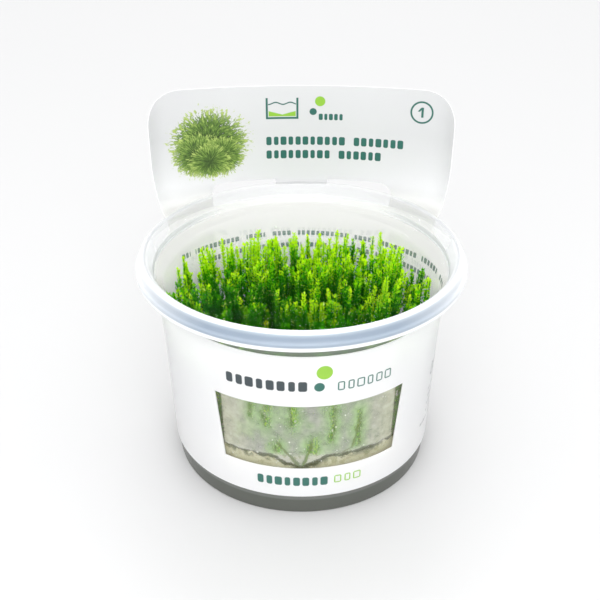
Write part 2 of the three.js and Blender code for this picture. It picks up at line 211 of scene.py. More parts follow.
class Finish:
    """A material, with the few ways of adding nodes to it that this lesson needs."""

    def __init__(self, name):
        self.material = bpy.data.materials.new(name)
        self.material.use_nodes = True
        self.tree = self.material.node_tree
        self.tree.nodes.clear()

    def node(self, kind, settings=None, inputs=None, output=0):
        """Any node, from its type, its settings and the values or wires of its sockets."""
        made = self.tree.nodes.new(kind)
        settings = dict(settings or {})
        stops = settings.pop("stops", [])
        for _ in stops[2:]:
            made.color_ramp.elements.new(0.5)
        for index, (position, colour) in enumerate(stops):
            made.color_ramp.elements[index].position = position
            made.color_ramp.elements[index].color = (*colour, 1)
        for name, value in settings.items():
            setattr(made, name, value)
        for name, value in (inputs or {}).items():
            if isinstance(value, Wire):
                self.tree.links.new(value.socket, made.inputs[name])
            else:
                made.inputs[name].default_value = value
        return Wire(self, made.outputs[output])

    def mix(self, mask, low, high):
        """The colour low where the mask is 0, and high where it is 1."""
        colours = [c if isinstance(c, Wire) else (*c, 1) for c in (low, high)]
        inputs = {0: mask, 6: colours[0], 7: colours[1]}
        return self.node("ShaderNodeMix", {"data_type": "RGBA"}, inputs, output=2)

    def painted(self, ground, *coats):
        """A colour with coats over it, each a mask and the colour that shows where it is 1."""
        for mask, colour in coats:
            ground = self.mix(mask, ground, colour)
        return ground

    def ramp(self, stops, value):
        """The colour at a value between 0 and 1, from stops of (place, colour)."""
        return self.node("ShaderNodeValToRGB", {"stops": stops}, {0: value})

    def place(self):
        """Where a point is on the object, in metres."""
        return self.node("ShaderNodeTexCoord", output="Object")

    def parts(self, vector):
        """The three numbers in a vector, as three wires."""
        first = self.node("ShaderNodeSeparateXYZ", inputs={0: vector})
        return [Wire(self, socket) for socket in first.socket.node.outputs]

    def millimetres(self, vector):
        return [part / MM for part in self.parts(vector)]

    def noise(self, vector, scale, detail=2.0, roughness=0.5):
        inputs = {"Vector": vector, "Scale": scale, "Detail": detail, "Roughness": roughness}
        return self.node("ShaderNodeTexNoise", inputs=inputs)

    def bump(self, height, distance, strength):
        inputs = {"Height": height, "Distance": distance, "Strength": strength}
        return self.node("ShaderNodeBump", inputs=inputs)

    def principled(self, **sockets):
        """A Principled shader: the words are its sockets with _ for a space."""
        inputs = {name.replace("_", " "): value for name, value in sockets.items()}
        if not isinstance(inputs["Base Color"], Wire):
            inputs["Base Color"] = (*inputs["Base Color"], 1)
        return self.node("ShaderNodeBsdfPrincipled", inputs=inputs)

    def translucent(self, colour):
        """A shader that lets light soak through a thin sheet, in one colour."""
        return self.node("ShaderNodeBsdfTranslucent", inputs={"Color": (*colour, 1)})

    def blend(self, share, first, second):
        """The first shader where the share is 0, and the second where it is 1."""
        return self.node("ShaderNodeMixShader", inputs={0: share, 1: first, 2: second})

    def finished(self, shader):
        output = self.tree.nodes.new("ShaderNodeOutputMaterial")
        self.tree.links.new(shader.socket, output.inputs["Surface"])
        return self.material


print("materials are written as sums from here on")

# %% [markdown]
# ## Floor
#
# A plain pale sheet, wide enough that the camera never sees its edge. It belongs to the stage
# and not to the object.

# %% Floor
FLOOR_HALF = 6.0
FLOOR_COLOUR = (0.564, 0.564, 0.566)


def new_mesh(name, points, faces):
    mesh = bpy.data.meshes.new(name)
    mesh.from_pydata(np.asarray(points).tolist(), [], faces)
    return mesh


def make_floor():
    finish = Finish("pale_floor")
    shader = finish.principled(Base_Color=FLOOR_COLOUR, Roughness=0.6, Specular_IOR_Level=0.2)
    corners = [(x * FLOOR_HALF, y * FLOOR_HALF, 0) for x, y in ((-1, -1), (1, -1), (1, 1), (-1, 1))]
    sheet = new_mesh("floor", corners, [(0, 1, 2, 3)])
    sheet.materials.append(finish.finished(shader))
    floor = bpy.data.objects.new("floor", sheet)
    bpy.context.scene.collection.objects.link(floor)


make_floor()
print("floor laid")

# %% [markdown]
# ## From points to a piece
#
# Every piece ends the same way: a mesh becomes an object, gets its finish, rides on the CAD
# body, and hides the plain solid that it stands for. One function does that, and another turns
# a profile round the Z axis, which is how the cup, the lid and the gel are made. A screw
# modifier could do the turning too, but points made here land exactly where the sums say.

# %% Making pieces
ROUND_STEPS = 192
MOST_OF_EDGE = 0.45                 # the most that a rounded corner may take of an edge beside it


def add_piece(name, mesh, material, stands_for):
    mesh.materials.append(material)
    piece = bpy.data.objects.new(name, mesh)
    bpy.context.scene.collection.objects.link(piece)
    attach(piece, "root")
    if stands_for:
        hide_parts(*stands_for)
    return piece


def rounded(corners, radius, steps=4):
    """A profile with each inner corner cut back and swept through as a smooth curve, in mm."""
    points = [corners[0]]
    for before, corner, after in zip(corners, corners[1:], corners[2:]):
        corner = np.array(corner, float)
        ends = []
        for other in (before, after):
            away = np.array(other, float) - corner
            edge = np.hypot(*away)
            ends.append(corner + away * min(radius, edge * MOST_OF_EDGE) / edge)
        for i in range(steps + 1):
            t = i / steps
            curve = (1 - t) ** 2 * ends[0] + 2 * t * (1 - t) * corner + t * t * ends[1]
            points.append(tuple(curve))
    return points + [corners[-1]]


def around(steps):
    """Each step round a ring with the next one."""
    return [(step, (step + 1) % steps) for step in range(steps)]


def turned(name, profile, steps=ROUND_STEPS):
    """A closed body from a profile of (radius, height) in mm that starts and ends on the axis."""
    angles = np.linspace(0, 2 * math.pi, steps, endpoint=False)
    inner = profile[1:-1]
    rings = [np.column_stack([r * np.sin(angles), -r * np.cos(angles), np.full(steps, z)])
             for r, z in inner]
    poles = [(0, 0, profile[0][1]), (0, 0, profile[-1][1])]
    points = np.vstack([*rings, poles]) * MM
    low, high = len(points) - 2, len(points) - 1
    faces = []
    for i, j in around(steps):
        faces.append((low, j, i))
        for ring in range(len(inner) - 1):
            a, b = ring * steps, (ring + 1) * steps
            faces.append((a + i, a + j, b + j, b + i))
        last = (len(inner) - 1) * steps
        faces.append((last + i, last + j, high))
    mesh = new_mesh(name, points, faces)
    mesh.shade_smooth()
    return mesh


def add_turned(name, profile, material, stands_for):
    piece = add_piece(name, turned(name, profile), material, [stands_for])
    print(name, "has", len(piece.data.polygons), "faces")


print("turning in", ROUND_STEPS, "steps")

# %% [markdown]
# ## Clear plastic
#
# Cup and lid are thin polypropylene. Where it is pressed flat, as in the middle of the lid, it
# is almost as clear as air. Where it is bent, as in the ridge and the lip, it turns a little
# milky. A real wall bends light twice, in and out, which a renderer can only follow by chance,
# so nearly no light would reach the moss. The Alpha socket is the way out: the share of the
# wall that it leaves out lets light straight through, also the light that the lamps send in.
#
# On the inside of the cup the moss's breath has settled as mist, thinner where a shoot touches
# the wall. A few dead stems lie in it, and white specks in it are painted highlights, glints of
# small drops. All of that is a rougher, tinted film: a second shader mixed in by a mask. The same
# film puts painted shade on the outside of the wall, just under the front of the lid. A third
# shader is painted shade: the dark band of the heel, where the card and the base keep the light
# out of the gel behind the wall.
#
# The lid's bent parts are milky plastic with some light of one colour soaking through. The front
# of its skirt carries painted reflection in blue-grey bands, and at the sides and the back thin
# grey lines of painted refraction run round the panel's edge and along the crown.

# %% Cup and lid finishes
PLASTIC_IOR = 1.49
WALL_RADIUS = 40.1                  # outer face of the cup's wall, carried down to the table
WALL_LEAN = 0.0411                  # its outward lean for each mm of height
DEGREES = 57.3                      # in one radian
CLEAR_TINT = (0.965, 0.98, 0.985)
MILKY_WHITE = (0.97, 0.975, 0.985)
EDGE_REFRACTION_GREY = (0.44, 0.46, 0.45)
CROWN_REFRACTION_GREY = (0.52, 0.52, 0.55)
SKIRT_REFLECTION_TOP = (0.42, 0.49, 0.56)
SKIRT_REFLECTION_BLUE = (0.29, 0.355, 0.44)
SKIRT_REFLECTION_LIGHT = (0.38, 0.45, 0.54)
LID_GLOW = (0.90, 0.93, 0.96)
MIST_GREY = (0.45, 0.46, 0.40)
MIST_GREEN = (0.38, 0.53, 0.27)
MIST_PALE = (0.60, 0.60, 0.47)
# Where a shoot touches the wall, the leaf shows through as green, painted lighter than it is lit:
# partly painted light.
LEAF_TINT = (0.32, 0.46, 0.16)
STRIP_TINT = (0.25, 0.27, 0.16)
PAINTED_DROP_GLINT = (0.82, 0.84, 0.76)
STEM_TINT = (0.10, 0.13, 0.035)
GAP_SHADE = (0.33, 0.37, 0.31)
# Painted shade: the heel is a dark band, lighter in a stripe at its top, where the card and the
# base keep the light out of the gel behind the wall.
HEEL_SHADE = (0.086, 0.091, 0.080)
HEEL_STRIPE_SHADE = (0.135, 0.142, 0.130)

# Heights and radii in mm.
HEEL_TOP_Z, STRIPE_TOP_Z = 5.3, 8.4
MIST_BOTTOM_Z, MIST_TOP_Z = 22.6, 50.0
# Painted shade: between these heights the front of the cup's outer face is painted dark, for the
# shade under the lid's front.
GAP_BOTTOM_Z, GAP_TOP_Z = 57.0, 62.0    # the dark gap between the card and the lid
PANEL_EDGE, CROWN_RADIUS, SKIRT_RADIUS = 44.5, 47.2, 48.1

# How much of the clear plastic the light meets: wall, shoulder and the lid's flat panel.
WALL_SHARE, SHOULDER_SHARE, PANEL_SHARE = 0.14, 0.04, 0.012

# Degrees: the middle and the half width of whole mist, and of mist half as thick beside it.
MIST_MIDDLE, MIST_HALF = 3.5, 37.3
SIDE_MIDDLE, SIDE_HALF = 4.0, 42.5
MIST_SHARE, PATCH_SHARE = 0.34, 0.26    # how much of the wall mist hides, and patches add
SWAY = 6.0                              # how far touching shoots wander sideways, in degrees

# Shoots that touch the wall behind the window: degrees from the front, and from what height
# to what height in mm.
TOUCHES = [(-20.5, 34.5, 46), (-14.2, 32.5, 46), (-9.8, 18, 26.5), (-3.2, 33.5, 46),
           (3.3, 18, 27), (5.6, 18, 28), (12.4, 27, 46), (24.0, 24, 37)]

# What such a shoot marks on the wall, a clear leafy line and a green haze round it: the half
# width in degrees and its softness, the mm past the ends, and how soft foot and top are.
LEAFY_MARK = (1.1, 1.9, 0, 2, 3)
HAZY_MARK = (4.2, 4.6, 3, 8, 6)

# Dead stems against the same wall: degrees and height in mm, of the foot and of the top.
DEAD_STEMS = [(-0.5, 18.6, -11.0, 28.0), (0.6, 18.6, 4.6, 28.6), (14.0, 21.5, 21.0, 24.0),
              (21.0, 23.5, 24.5, 34.0)]

# Painted reflection on the front of the skirt: blue-grey bands of the mirrored studio, from the
# lip (0) to the ridge (1).
SKIRT_REFLECTION_BANDS = [(0.20, MILKY_WHITE), (0.27, SKIRT_REFLECTION_BLUE), (0.42, SKIRT_REFLECTION_LIGHT), (0.50, SKIRT_REFLECTION_BLUE),
               (0.68, SKIRT_REFLECTION_BLUE), (0.84, SKIRT_REFLECTION_TOP), (0.92, MILKY_WHITE)]


def from_front(x, y):
    """Degrees round the cup from the middle of the front, counted to the right."""
    return x.bearing(y * -1) * DEGREES


def shoot_marks(across, z, half, soft, past, foot_soft, top_soft):
    return strongest(*[
        abs(across - angle).under(half, soft)
        * z.over(low - past, foot_soft) * z.under(high + past, top_soft)
        for angle, low, high in TOUCHES])


def dead_stems(across, z):
    marks = []
    for foot, low, top, high in DEAD_STEMS:
        climb = (z - low) / (high - low)
        away = abs(across - foot - (top - foot) * climb)
        marks.append(away.under(0.55, soft=0.7) * climb.over(0.02, soft=0.1)
                     * climb.under(0.95, soft=0.2))
    return strongest(*marks)


def clear_plastic(finish, share):
    """Plastic as clear as air, with the share of it that the light meets."""
    return finish.principled(
        Base_Color=CLEAR_TINT, Roughness=0.02, IOR=PLASTIC_IOR, Transmission_Weight=1.0,
        Alpha=share)


def cup_finish():
    finish = Finish("clear_cup")
    place = finish.place()
    x, y, z = finish.millimetres(place)
    across = from_front(x, y)
    off_middle = abs(across - MIST_MIDDLE)
    front = (0.5 * off_middle.under(MIST_HALF, soft=0.6)
             + 0.5 * abs(across - SIDE_MIDDLE).under(SIDE_HALF, soft=0.8))
    band = z.over(MIST_BOTTOM_Z, soft=0.8) * z.under(MIST_TOP_Z, soft=10)
    patches = finish.noise(place, 330, 5, 0.65).over(0.5, soft=0.3)
    sway = (finish.noise(place, 210, 3, 0.6) - 0.5) * SWAY
    touched = shoot_marks(across + sway, z, *LEAFY_MARK)
    hazy = shoot_marks(across + sway, z, *HAZY_MARK)
    hazy = hazy.most(finish.noise(place, 100, 2).over(0.58, soft=0.12) * 0.7)
    stems = dead_stems(across + sway * 0.6, z)
    # Painted highlights: small white specks in the front mist, for glints of drops.
    painted_glints = (finish.noise(place, 1300, 0).over(0.81, soft=0.04)
              * finish.noise(place, 160, 0).over(0.5, soft=0.1) * front)
    outer_face = (length(x, y) - z * WALL_LEAN).over(WALL_RADIUS - 0.4, soft=0.2)
    # Painted shade under the front of the lid, on the outer face of the wall.
    under_lid_shade = (z.over(GAP_BOTTOM_Z, soft=1.5) * z.under(GAP_TOP_Z, soft=1.5)
                 * outer_face * y.under(-8, soft=10))
    tint = finish.painted(
        MIST_GREY,
        (hazy, MIST_GREEN),
        (abs(across - 3).over(28, soft=14), MIST_PALE),
        (off_middle.over(MIST_HALF, soft=0.8), STRIP_TINT),
        (touched, LEAF_TINT),
        (painted_glints, PAINTED_DROP_GLINT),
        (stems * 0.85, STEM_TINT),
        (under_lid_shade, GAP_SHADE))
    mist = front * band * (MIST_SHARE + PATCH_SHARE * patches) * (1 - 0.5 * touched)
    film = strongest(mist, under_lid_shade * 0.5, stems * 0.8, painted_glints * 0.7)
    shoulder = z.over(59, soft=2)
    clear = clear_plastic(finish, WALL_SHARE - (WALL_SHARE - SHOULDER_SHARE) * shoulder)
    # The film's shader: mist and dead stems, with painted highlights of drops and painted shade
    # under the lid.
    misted_and_painted = finish.principled(Base_Color=tint, Roughness=0.5, Specular_IOR_Level=0.3)
    # Painted shade: an opaque dark band from the table to just above the card's lower edge.
    heel_shade_colour = finish.mix(z.over(HEEL_TOP_Z, soft=0.5), HEEL_SHADE, HEEL_STRIPE_SHADE)
    heel = finish.principled(Base_Color=heel_shade_colour, Roughness=0.25, Specular_IOR_Level=0.3)
    wall = finish.blend(film, clear, misted_and_painted)
    return finish.finished(finish.blend(z.under(STRIPE_TOP_Z, soft=0.3), wall, heel))


def lid_finish():
    finish = Finish("clear_lid")
    x, y, z = finish.millimetres(finish.place())
    radius = length(x, y)
    bent = radius.over(PANEL_EDGE, soft=0.3)
    skirt = radius.over(SKIRT_RADIUS, soft=0.2)
    skirt_reflection = finish.ramp(SKIRT_REFLECTION_BANDS, (z - LIP_BOTTOM_Z) / (RIDGE_Z - LIP_BOTTOM_Z))
    beside = abs(x).over(30, soft=12)
    # Painted refraction: thin grey lines at the panel's edge and on the crown, at the sides and the
    # back, where the bent plastic shows darker surroundings.
    edge = (abs(radius - PANEL_EDGE - 0.3).under(0.18, soft=0.2)
            * y.over(-36, soft=14) * beside)
    crown = (abs(radius - CROWN_RADIUS).under(0.2, soft=0.25)
             * y.over(-25, soft=20) * beside)
    # Painted reflection on the skirt's front, and painted refraction lines at the sides and back.
    milk_and_reflections = finish.painted(
        MILKY_WHITE,
        (skirt * y.under(-27, soft=30), skirt_reflection),
        (edge, EDGE_REFRACTION_GREY),
        (crown, CROWN_REFRACTION_GREY))
    solid = (0.1 + 0.8 * y.under(-10, soft=50)).most(edge.most(crown) * 0.85)
    milky = finish.principled(
        Base_Color=milk_and_reflections, Roughness=0.2, IOR=PLASTIC_IOR, Transmission_Weight=0.15, Alpha=solid)
    glow_share = solid * (0.35 - 0.2 * skirt)
    soft = finish.blend(glow_share, milky, finish.translucent(LID_GLOW))
    return finish.finished(finish.blend(bent, clear_plastic(finish, PANEL_SHARE), soft))


print("a panel as clear as air inside", PANEL_EDGE, "mm")

# %% [markdown]
# ## The cup
#
# The wall leans outward by a little over two degrees, so that cups stack. At the top it flares
# into a shoulder and rolls into the rim that the lid grips. The profile is the CAD one with its
# corners rounded, as moulded plastic has no sharp ones.

# %% Cup
CUP_THICKNESS = 0.8
BASE_THICKNESS = 1.0
RECESS_RADIUS = 14                  # of the shallow hollow under the base
SHOULDER_Z = 61.0
RIM_Z = 69.0


def wall_radius(z):
    return WALL_RADIUS + WALL_LEAN * z


def inner_wall_radius(z):
    return wall_radius(z) - CUP_THICKNESS


def cup_profile():
    outside = [(0, 0.5), (RECESS_RADIUS, 0.5), (RECESS_RADIUS + 1, 0), (wall_radius(0) - 0.5, 0),
               (wall_radius(0.5), 0.5), (wall_radius(SHOULDER_Z), SHOULDER_Z)]
    shoulder = [(45.3, 62.1), (46.4, 63.6), (46.9, 65.4), (48.2, 65.9), (48.2, 66.7), (47.9, 68.5)]
    rim = [(47.65, RIM_Z), (47.3, RIM_Z), (47.0, 68.4), (45.5, 64.0), (44.9, 62.9)]
    inside = [(inner_wall_radius(SHOULDER_Z), SHOULDER_Z + 0.4), (inner_wall_radius(2.2), 2.6),
              (inner_wall_radius(0) - 1.4, BASE_THICKNESS), (RECESS_RADIUS, BASE_THICKNESS),
              (0, BASE_THICKNESS + 0.3)]
    return rounded(outside + shoulder + rim + inside, 0.7)


add_turned("cup_clear", cup_profile(), cup_finish(), "cup")

# %% [markdown]
# ## The lid
#
# A thin pressing: the middle is sunk, so that the next cup stacks in it, and the ridge round it
# holds the rim from both sides. Outside the ridge a skirt runs down to a small lip.

# %% Lid
LID_THICKNESS = 0.6
PANEL_Z = 63.9
RIDGE_Z = 70.0
LIP_RADIUS = 50.0
LIP_TOP_Z = 66.9
LIP_BOTTOM_Z = 64.6


def lid_profile():
    below = [(0, PANEL_Z - LID_THICKNESS), (44.0, PANEL_Z - LID_THICKNESS), (45.2, 64.1),
             (46.8, 69.0), (47.3, 69.35), (47.7, RIDGE_Z - LID_THICKNESS), (48.1, 69.3),
             (48.3, 68.9), (48.7, LIP_TOP_Z), (49.4, LIP_TOP_Z - 0.5), (49.4, LIP_BOTTOM_Z)]
    above = [(LIP_RADIUS, LIP_BOTTOM_Z), (LIP_RADIUS, LIP_TOP_Z), (49.3, LIP_TOP_Z + 0.3),
             (48.9, 69.2), (48.4, 69.8), (47.7, RIDGE_Z), (46.9, 69.8), (46.2, 69.1),
             (44.6, 64.3), (44.2, PANEL_Z), (0, PANEL_Z)]
    return rounded(below + above, 0.6)


add_turned("lid_clear", lid_profile(), lid_finish(), "lid")

# %% [markdown]
# ## The gel
#
# Nutrient gel is poured in warm. It fills the bottom and creeps up the wall in a thin edge. It
# lets some light through, but is yellower and hazier than the plastic. Old moss lies on it as
# a dark line that sags near the front, with olive threads and a brown smudge below it. Near the
# heel of the cup the gel is painted darker in two steps: painted shade, where the card and the
# base keep the light out.

# %% Gel
GEL_TOP_Z = 22.0
GEL_IOR = 1.34
GEL_COLOUR = (0.65, 0.63, 0.42)
GEL_CLOUD = (0.57, 0.57, 0.47)
GEL_DEEP_SHADE = (0.13, 0.147, 0.122)
GEL_STRIPE_SHADE = (0.27, 0.285, 0.26)
GEL_OLIVE = (0.26, 0.28, 0.10)
GEL_BROWN = (0.13, 0.14, 0.06)
THREAD_COLOUR = (0.055, 0.065, 0.015)
LINE_Z = 21.4                       # where dead moss lies on the gel as a dark line
LINE_DIP = 3.3                      # how far that line sags near the front


SAG_MIDDLE, SAG_HALF = -1, 14       # where it sags: degrees from the front, and to each side
# Painted shade: below these heights the gel is painted darker.
STRIPE_Z, DEEP_Z = 9, 5.6           # below these heights the gel is darker


def gel_finish():
    finish = Finish("nutrient_gel")
    place = finish.place()
    x, y, z = finish.millimetres(place)
    uneven = finish.noise(place, 260, 3, 0.6) - 0.5
    sag = (1 - abs(from_front(x, y) - SAG_MIDDLE) / SAG_HALF).most(0)
    line_z = LINE_Z - LINE_DIP * sag * sag * (3 - 2 * sag) + 3.0 * uneven
    below_line = line_z - z
    half_line = finish.noise(place, 170, 4, 0.65) * 3.6 - 1.25
    line = (abs(below_line) - half_line).under(0, soft=0.2)
    threads = finish.noise(place, 420, 4, 0.65).over(0.55, soft=0.06) * z.over(17.5, soft=3)
    smudge = (finish.noise(place, 190, 4, 0.65).over(0.51, soft=0.06)
              * below_line.over(0, soft=0.3) * below_line.under(1.9, soft=1.6))
    colour = finish.painted(
        GEL_COLOUR,
        (below_line.under(0, soft=0.5), GEL_CLOUD),
        (threads * 0.6, GEL_OLIVE),
        (smudge * 0.85, GEL_BROWN),
        (line * 0.92, THREAD_COLOUR),
        # Painted shade towards the heel, in two steps.
        (z.under(STRIPE_Z, soft=3), GEL_STRIPE_SHADE),
        (z.under(DEEP_Z, soft=0.5), GEL_DEEP_SHADE))
    waves = finish.noise(place, 120, 3)
    shader = finish.principled(
        Base_Color=colour, Roughness=0.22, IOR=GEL_IOR, Transmission_Weight=0.3,
        Normal=finish.bump(waves, 0.0006, 0.5))
    return finish.finished(shader)


def gel_profile():
    def edge(z):
        return inner_wall_radius(z) - 0.04

    creep_z = GEL_TOP_Z + 0.9       # how high the gel creeps up the wall
    return rounded([
        (0, BASE_THICKNESS + 0.35), (RECESS_RADIUS, BASE_THICKNESS + 0.1),
        (edge(0) - 1.5, BASE_THICKNESS + 0.1), (edge(2.2), 2.7), (edge(creep_z), creep_z),
        (edge(GEL_TOP_Z) - 1.4, GEL_TOP_Z), (0, GEL_TOP_Z)], 0.8)


add_turned("gel_clear", gel_profile(), gel_finish(), "gel")

# %% [markdown]
# ## The card
#
# One die-cut card makes both the sleeve and the header. It is described flat, as it comes from
# the printer: s runs round the cup from the middle of the back and z runs up. One function puts
# a flat point in its place in space. Low down that place is on the cup's wall. Higher up the
# back lets go of the wall and straightens, to pass behind the lid.
#
# The flat position is kept on the mesh as a UV map, in metres, and the print is drawn with it.

# %% Card shape
CARD_THICKNESS = 0.4
SLEEVE_RADIUS = 40.5
GIRTH = 270.0                       # once round the sleeve
SLEEVE_BOTTOM_Z, SLEEVE_TOP_Z = 7.4, 58.6
SLEEVE_SKEW = 0.35                  # how far its top edge dips on one side and rises on the other
HEADER_TOP_Z, HEADER_WIDEST_Z = 103.7, 80.0
HEADER_HALF_WIDTH, NECK_HALF_WIDTH = 51.0, 49.0
HEADER_CORNER, SLOT_CORNER = 11.0, 4.0
SLOT_HALF_WIDTH, SLOT_BOTTOM_Z, SLOT_TOP_Z = 31.0, 63.4, 70.5
TAB_HALF_WIDTH, TAB_BOTTOM_Z = 8.85, 68.6
WINDOW_BOTTOM_Z, WINDOW_TOP_Z = 18.2, 41.5
WINDOW_CENTRE = 4.0                 # degrees to the right of the front
WINDOW_HALF_BOTTOM, WINDOW_HALF_TOP = 37.2, 40.1    # degrees
BEND_START_Z, BEND_END_Z = 34.0, 64.0   # between these heights the back leaves the wall
BEND_FULL_S, BEND_NONE_S = 46.0, 78.0   # and between these places it comes back to it
BACK_Y_LOW, BACK_Y_TOP = 49.35, 48.5    # how far back the standing part is, low and at the top
ARC_LOW, ARC_TOP = 60.0, 175.0          # and how gently it is curved there
SEAM_S = 75.0                       # where the flat coordinate starts again, on the right side


def smooth_step(value, low, high):
    t = np.clip((value - low) / (high - low), 0, 1)
    return t * t * (3 - 2 * t)


def rounded_edge(half_width, corner, top_z, z):
    """The half width at a height, for a shape with rounded corners at its top."""
    into_corner = z - (top_z - corner)
    if into_corner <= 0:
        return float(half_width)
    return float(half_width - corner + math.sqrt(max(corner ** 2 - into_corner ** 2, 0)))


def header_edge(z):
    widening = smooth_step(z, SLEEVE_TOP_Z, HEADER_WIDEST_Z)
    wide = NECK_HALF_WIDTH + (HEADER_HALF_WIDTH - NECK_HALF_WIDTH) * widening
    wide += 3 * (1 - smooth_step(z, SLEEVE_TOP_Z, SLEEVE_TOP_Z + 2))
    return rounded_edge(wide, HEADER_CORNER, HEADER_TOP_Z, z)


def slot_edge(z):
    return rounded_edge(SLOT_HALF_WIDTH, SLOT_CORNER, SLOT_TOP_Z, min(z, SLOT_TOP_Z))


def window_edge(z, side):
    rise = min(max((z - WINDOW_BOTTOM_Z) / (WINDOW_TOP_Z - WINDOW_BOTTOM_Z), 0), 1)
    half = WINDOW_HALF_BOTTOM + (WINDOW_HALF_TOP - WINDOW_HALF_BOTTOM) * rise
    return GIRTH * (180 - WINDOW_CENTRE - side * half) / 360 - GIRTH


def card_points(s, z):
    """Places in space, in mm, of flat points on the inner face of the card."""
    s = (s + GIRTH / 2) % GIRTH - GIRTH / 2
    angle = s / GIRTH * 2 * math.pi
    radius = SLEEVE_RADIUS + WALL_LEAN * np.minimum(z, SLEEVE_TOP_Z)
    on_cup = np.stack([radius * np.sin(angle), radius * np.cos(angle), z], -1)
    climb = np.clip((z - BEND_END_Z) / (HEADER_TOP_Z - BEND_END_Z), 0, 1)
    arc = ARC_LOW + (ARC_TOP - ARC_LOW) * np.sqrt(climb)
    back_y = BACK_Y_LOW + (BACK_Y_TOP - BACK_Y_LOW) * climb
    turn = s / arc
    standing = np.stack([arc * np.sin(turn), back_y - arc * (1 - np.cos(turn)), z], -1)
    share = smooth_step(z, BEND_START_Z, BEND_END_Z)
    share = share * (1 - smooth_step(np.abs(s), BEND_FULL_S, BEND_NONE_S))
    return on_cup + (standing - on_cup) * share[..., None]


def unit(vectors):
    return vectors / np.linalg.norm(vectors, axis=-1, keepdims=True)


def card_normals(s, z):
    step = 0.2
    along = card_points(s + step, z) - card_points(s - step, z)
    up = card_points(s, z + step) - card_points(s, z - step)
    return unit(np.cross(up, along))


def spaced(stops):
    """Numbers from stop to stop, each stop given with how many steps lead on from it."""
    values = []
    for (start, steps), (end, _) in zip(stops, stops[1:]):
        values += [start + (end - start) * i / steps for i in range(steps)]
    return values + [stops[-1][0]]


# How many columns of cells each stretch of the card has, and where the window, the header, the
# slot and the tab begin and end when those are counted from the seam.
COLUMN_COUNTS = [14, 44, 34, 10, 14, 10, 14, 10, 14, 0]
STARTS = np.cumsum([0] + COLUMN_COUNTS).tolist()
WINDOW_COLUMNS = range(STARTS[1], STARTS[2])
HEADER_COLUMNS = range(STARTS[3], STARTS[8])
SLOT_COLUMNS = range(STARTS[4], STARTS[7])
TAB_COLUMNS = range(STARTS[5], STARTS[6])


def card_columns(z):
    """Places along the card of the grid's columns at one height, once round from the seam."""
    neck, slot = header_edge(max(z, SLEEVE_TOP_Z)), slot_edge(z)
    edges = [SEAM_S - GIRTH, window_edge(z, 1), window_edge(z, -1), -neck, -slot,
             -TAB_HALF_WIDTH, TAB_HALF_WIDTH, slot, neck, SEAM_S]
    return spaced(list(zip(edges, COLUMN_COUNTS)))


CARD_ROWS = spaced([
    (SLEEVE_BOTTOM_Z, 4), (WINDOW_BOTTOM_Z, 10), (WINDOW_TOP_Z, 8), (SLEEVE_TOP_Z, 4),
    (SLOT_BOTTOM_Z, 2), (SLOT_TOP_Z - SLOT_CORNER, 3), (TAB_BOTTOM_Z, 5), (SLOT_TOP_Z, 12),
    (HEADER_TOP_Z - HEADER_CORNER, 8), (HEADER_TOP_Z - 1.1, 6), (HEADER_TOP_Z, 0)])
print("the card's grid has", sum(COLUMN_COUNTS), "columns and", len(CARD_ROWS) - 1, "rows of cells")

# %% [markdown]
# The grid is laid over the whole card, and the cells inside the window and the slot, and those
# beside the header, are left out. Where a kept cell meets a left out one, a narrow face closes
# the edge, so the card is a real sheet with thickness all the way round its cuts.

# %% Card mesh


def card_mesh():
    columns = np.array([card_columns(z) for z in CARD_ROWS])
    rows = np.array(CARD_ROWS)[:, None] + np.zeros_like(columns)
    top = np.isclose(rows, SLEEVE_TOP_Z)
    rows = rows - np.where(top, SLEEVE_SKEW * np.sin(columns / GIRTH * 2 * math.pi), 0)
    inside = card_points(columns, rows)
    outside = inside + card_normals(columns, rows) * CARD_THICKNESS
    row_count, column_count = columns.shape
    points = np.stack([inside, outside], 2).reshape(-1, 3) * MM
    flat = np.stack([columns, rows], -1).repeat(2, axis=1).reshape(-1, 2) * MM

    def kept(row, column):
        if not 0 <= row < row_count - 1:
            return False
        column %= column_count - 1
        low = CARD_ROWS[row] + 1e-6
        if WINDOW_BOTTOM_Z < low < WINDOW_TOP_Z and column in WINDOW_COLUMNS:
            return False
        if low > SLEEVE_TOP_Z and column not in HEADER_COLUMNS:
            return False
        in_slot = SLOT_BOTTOM_Z < low < SLOT_TOP_Z and column in SLOT_COLUMNS
        is_tab = low > TAB_BOTTOM_Z and column in TAB_COLUMNS
        return is_tab or not in_slot

    def at(row, column, face):
        return (row * column_count + column) * 2 + face

    faces = []
    for r in range(row_count - 1):
        for c in range(column_count - 1):
            if not kept(r, c):
                continue
            n = c + 1
            faces.append((at(r, c, 1), at(r + 1, c, 1), at(r + 1, n, 1), at(r, n, 1)))
            faces.append((at(r, c, 0), at(r, n, 0), at(r + 1, n, 0), at(r + 1, c, 0)))
            if not kept(r - 1, c):
                faces.append((at(r, c, 0), at(r, c, 1), at(r, n, 1), at(r, n, 0)))
            if not kept(r + 1, c):
                faces.append((at(r + 1, c, 1), at(r + 1, c, 0), at(r + 1, n, 0), at(r + 1, n, 1)))
            if not kept(r, c - 1):
                faces.append((at(r, c, 0), at(r + 1, c, 0), at(r + 1, c, 1), at(r, c, 1)))
            if not kept(r, n):
                faces.append((at(r, n, 1), at(r + 1, n, 1), at(r + 1, n, 0), at(r, n, 0)))

    mesh = new_mesh("card", points, faces)
    corners = np.zeros(len(mesh.loops), int)
    mesh.loops.foreach_get("vertex_index", corners)
    mesh.uv_layers.new(name="flat").data.foreach_set("uv", flat[corners].astype(np.float32).ravel())
    side = mesh.attributes.new("outer_face", "FLOAT", "POINT")
    side.data.foreach_set("value", (np.arange(len(points)) % 2).astype(np.float32))
    return weld(mesh)


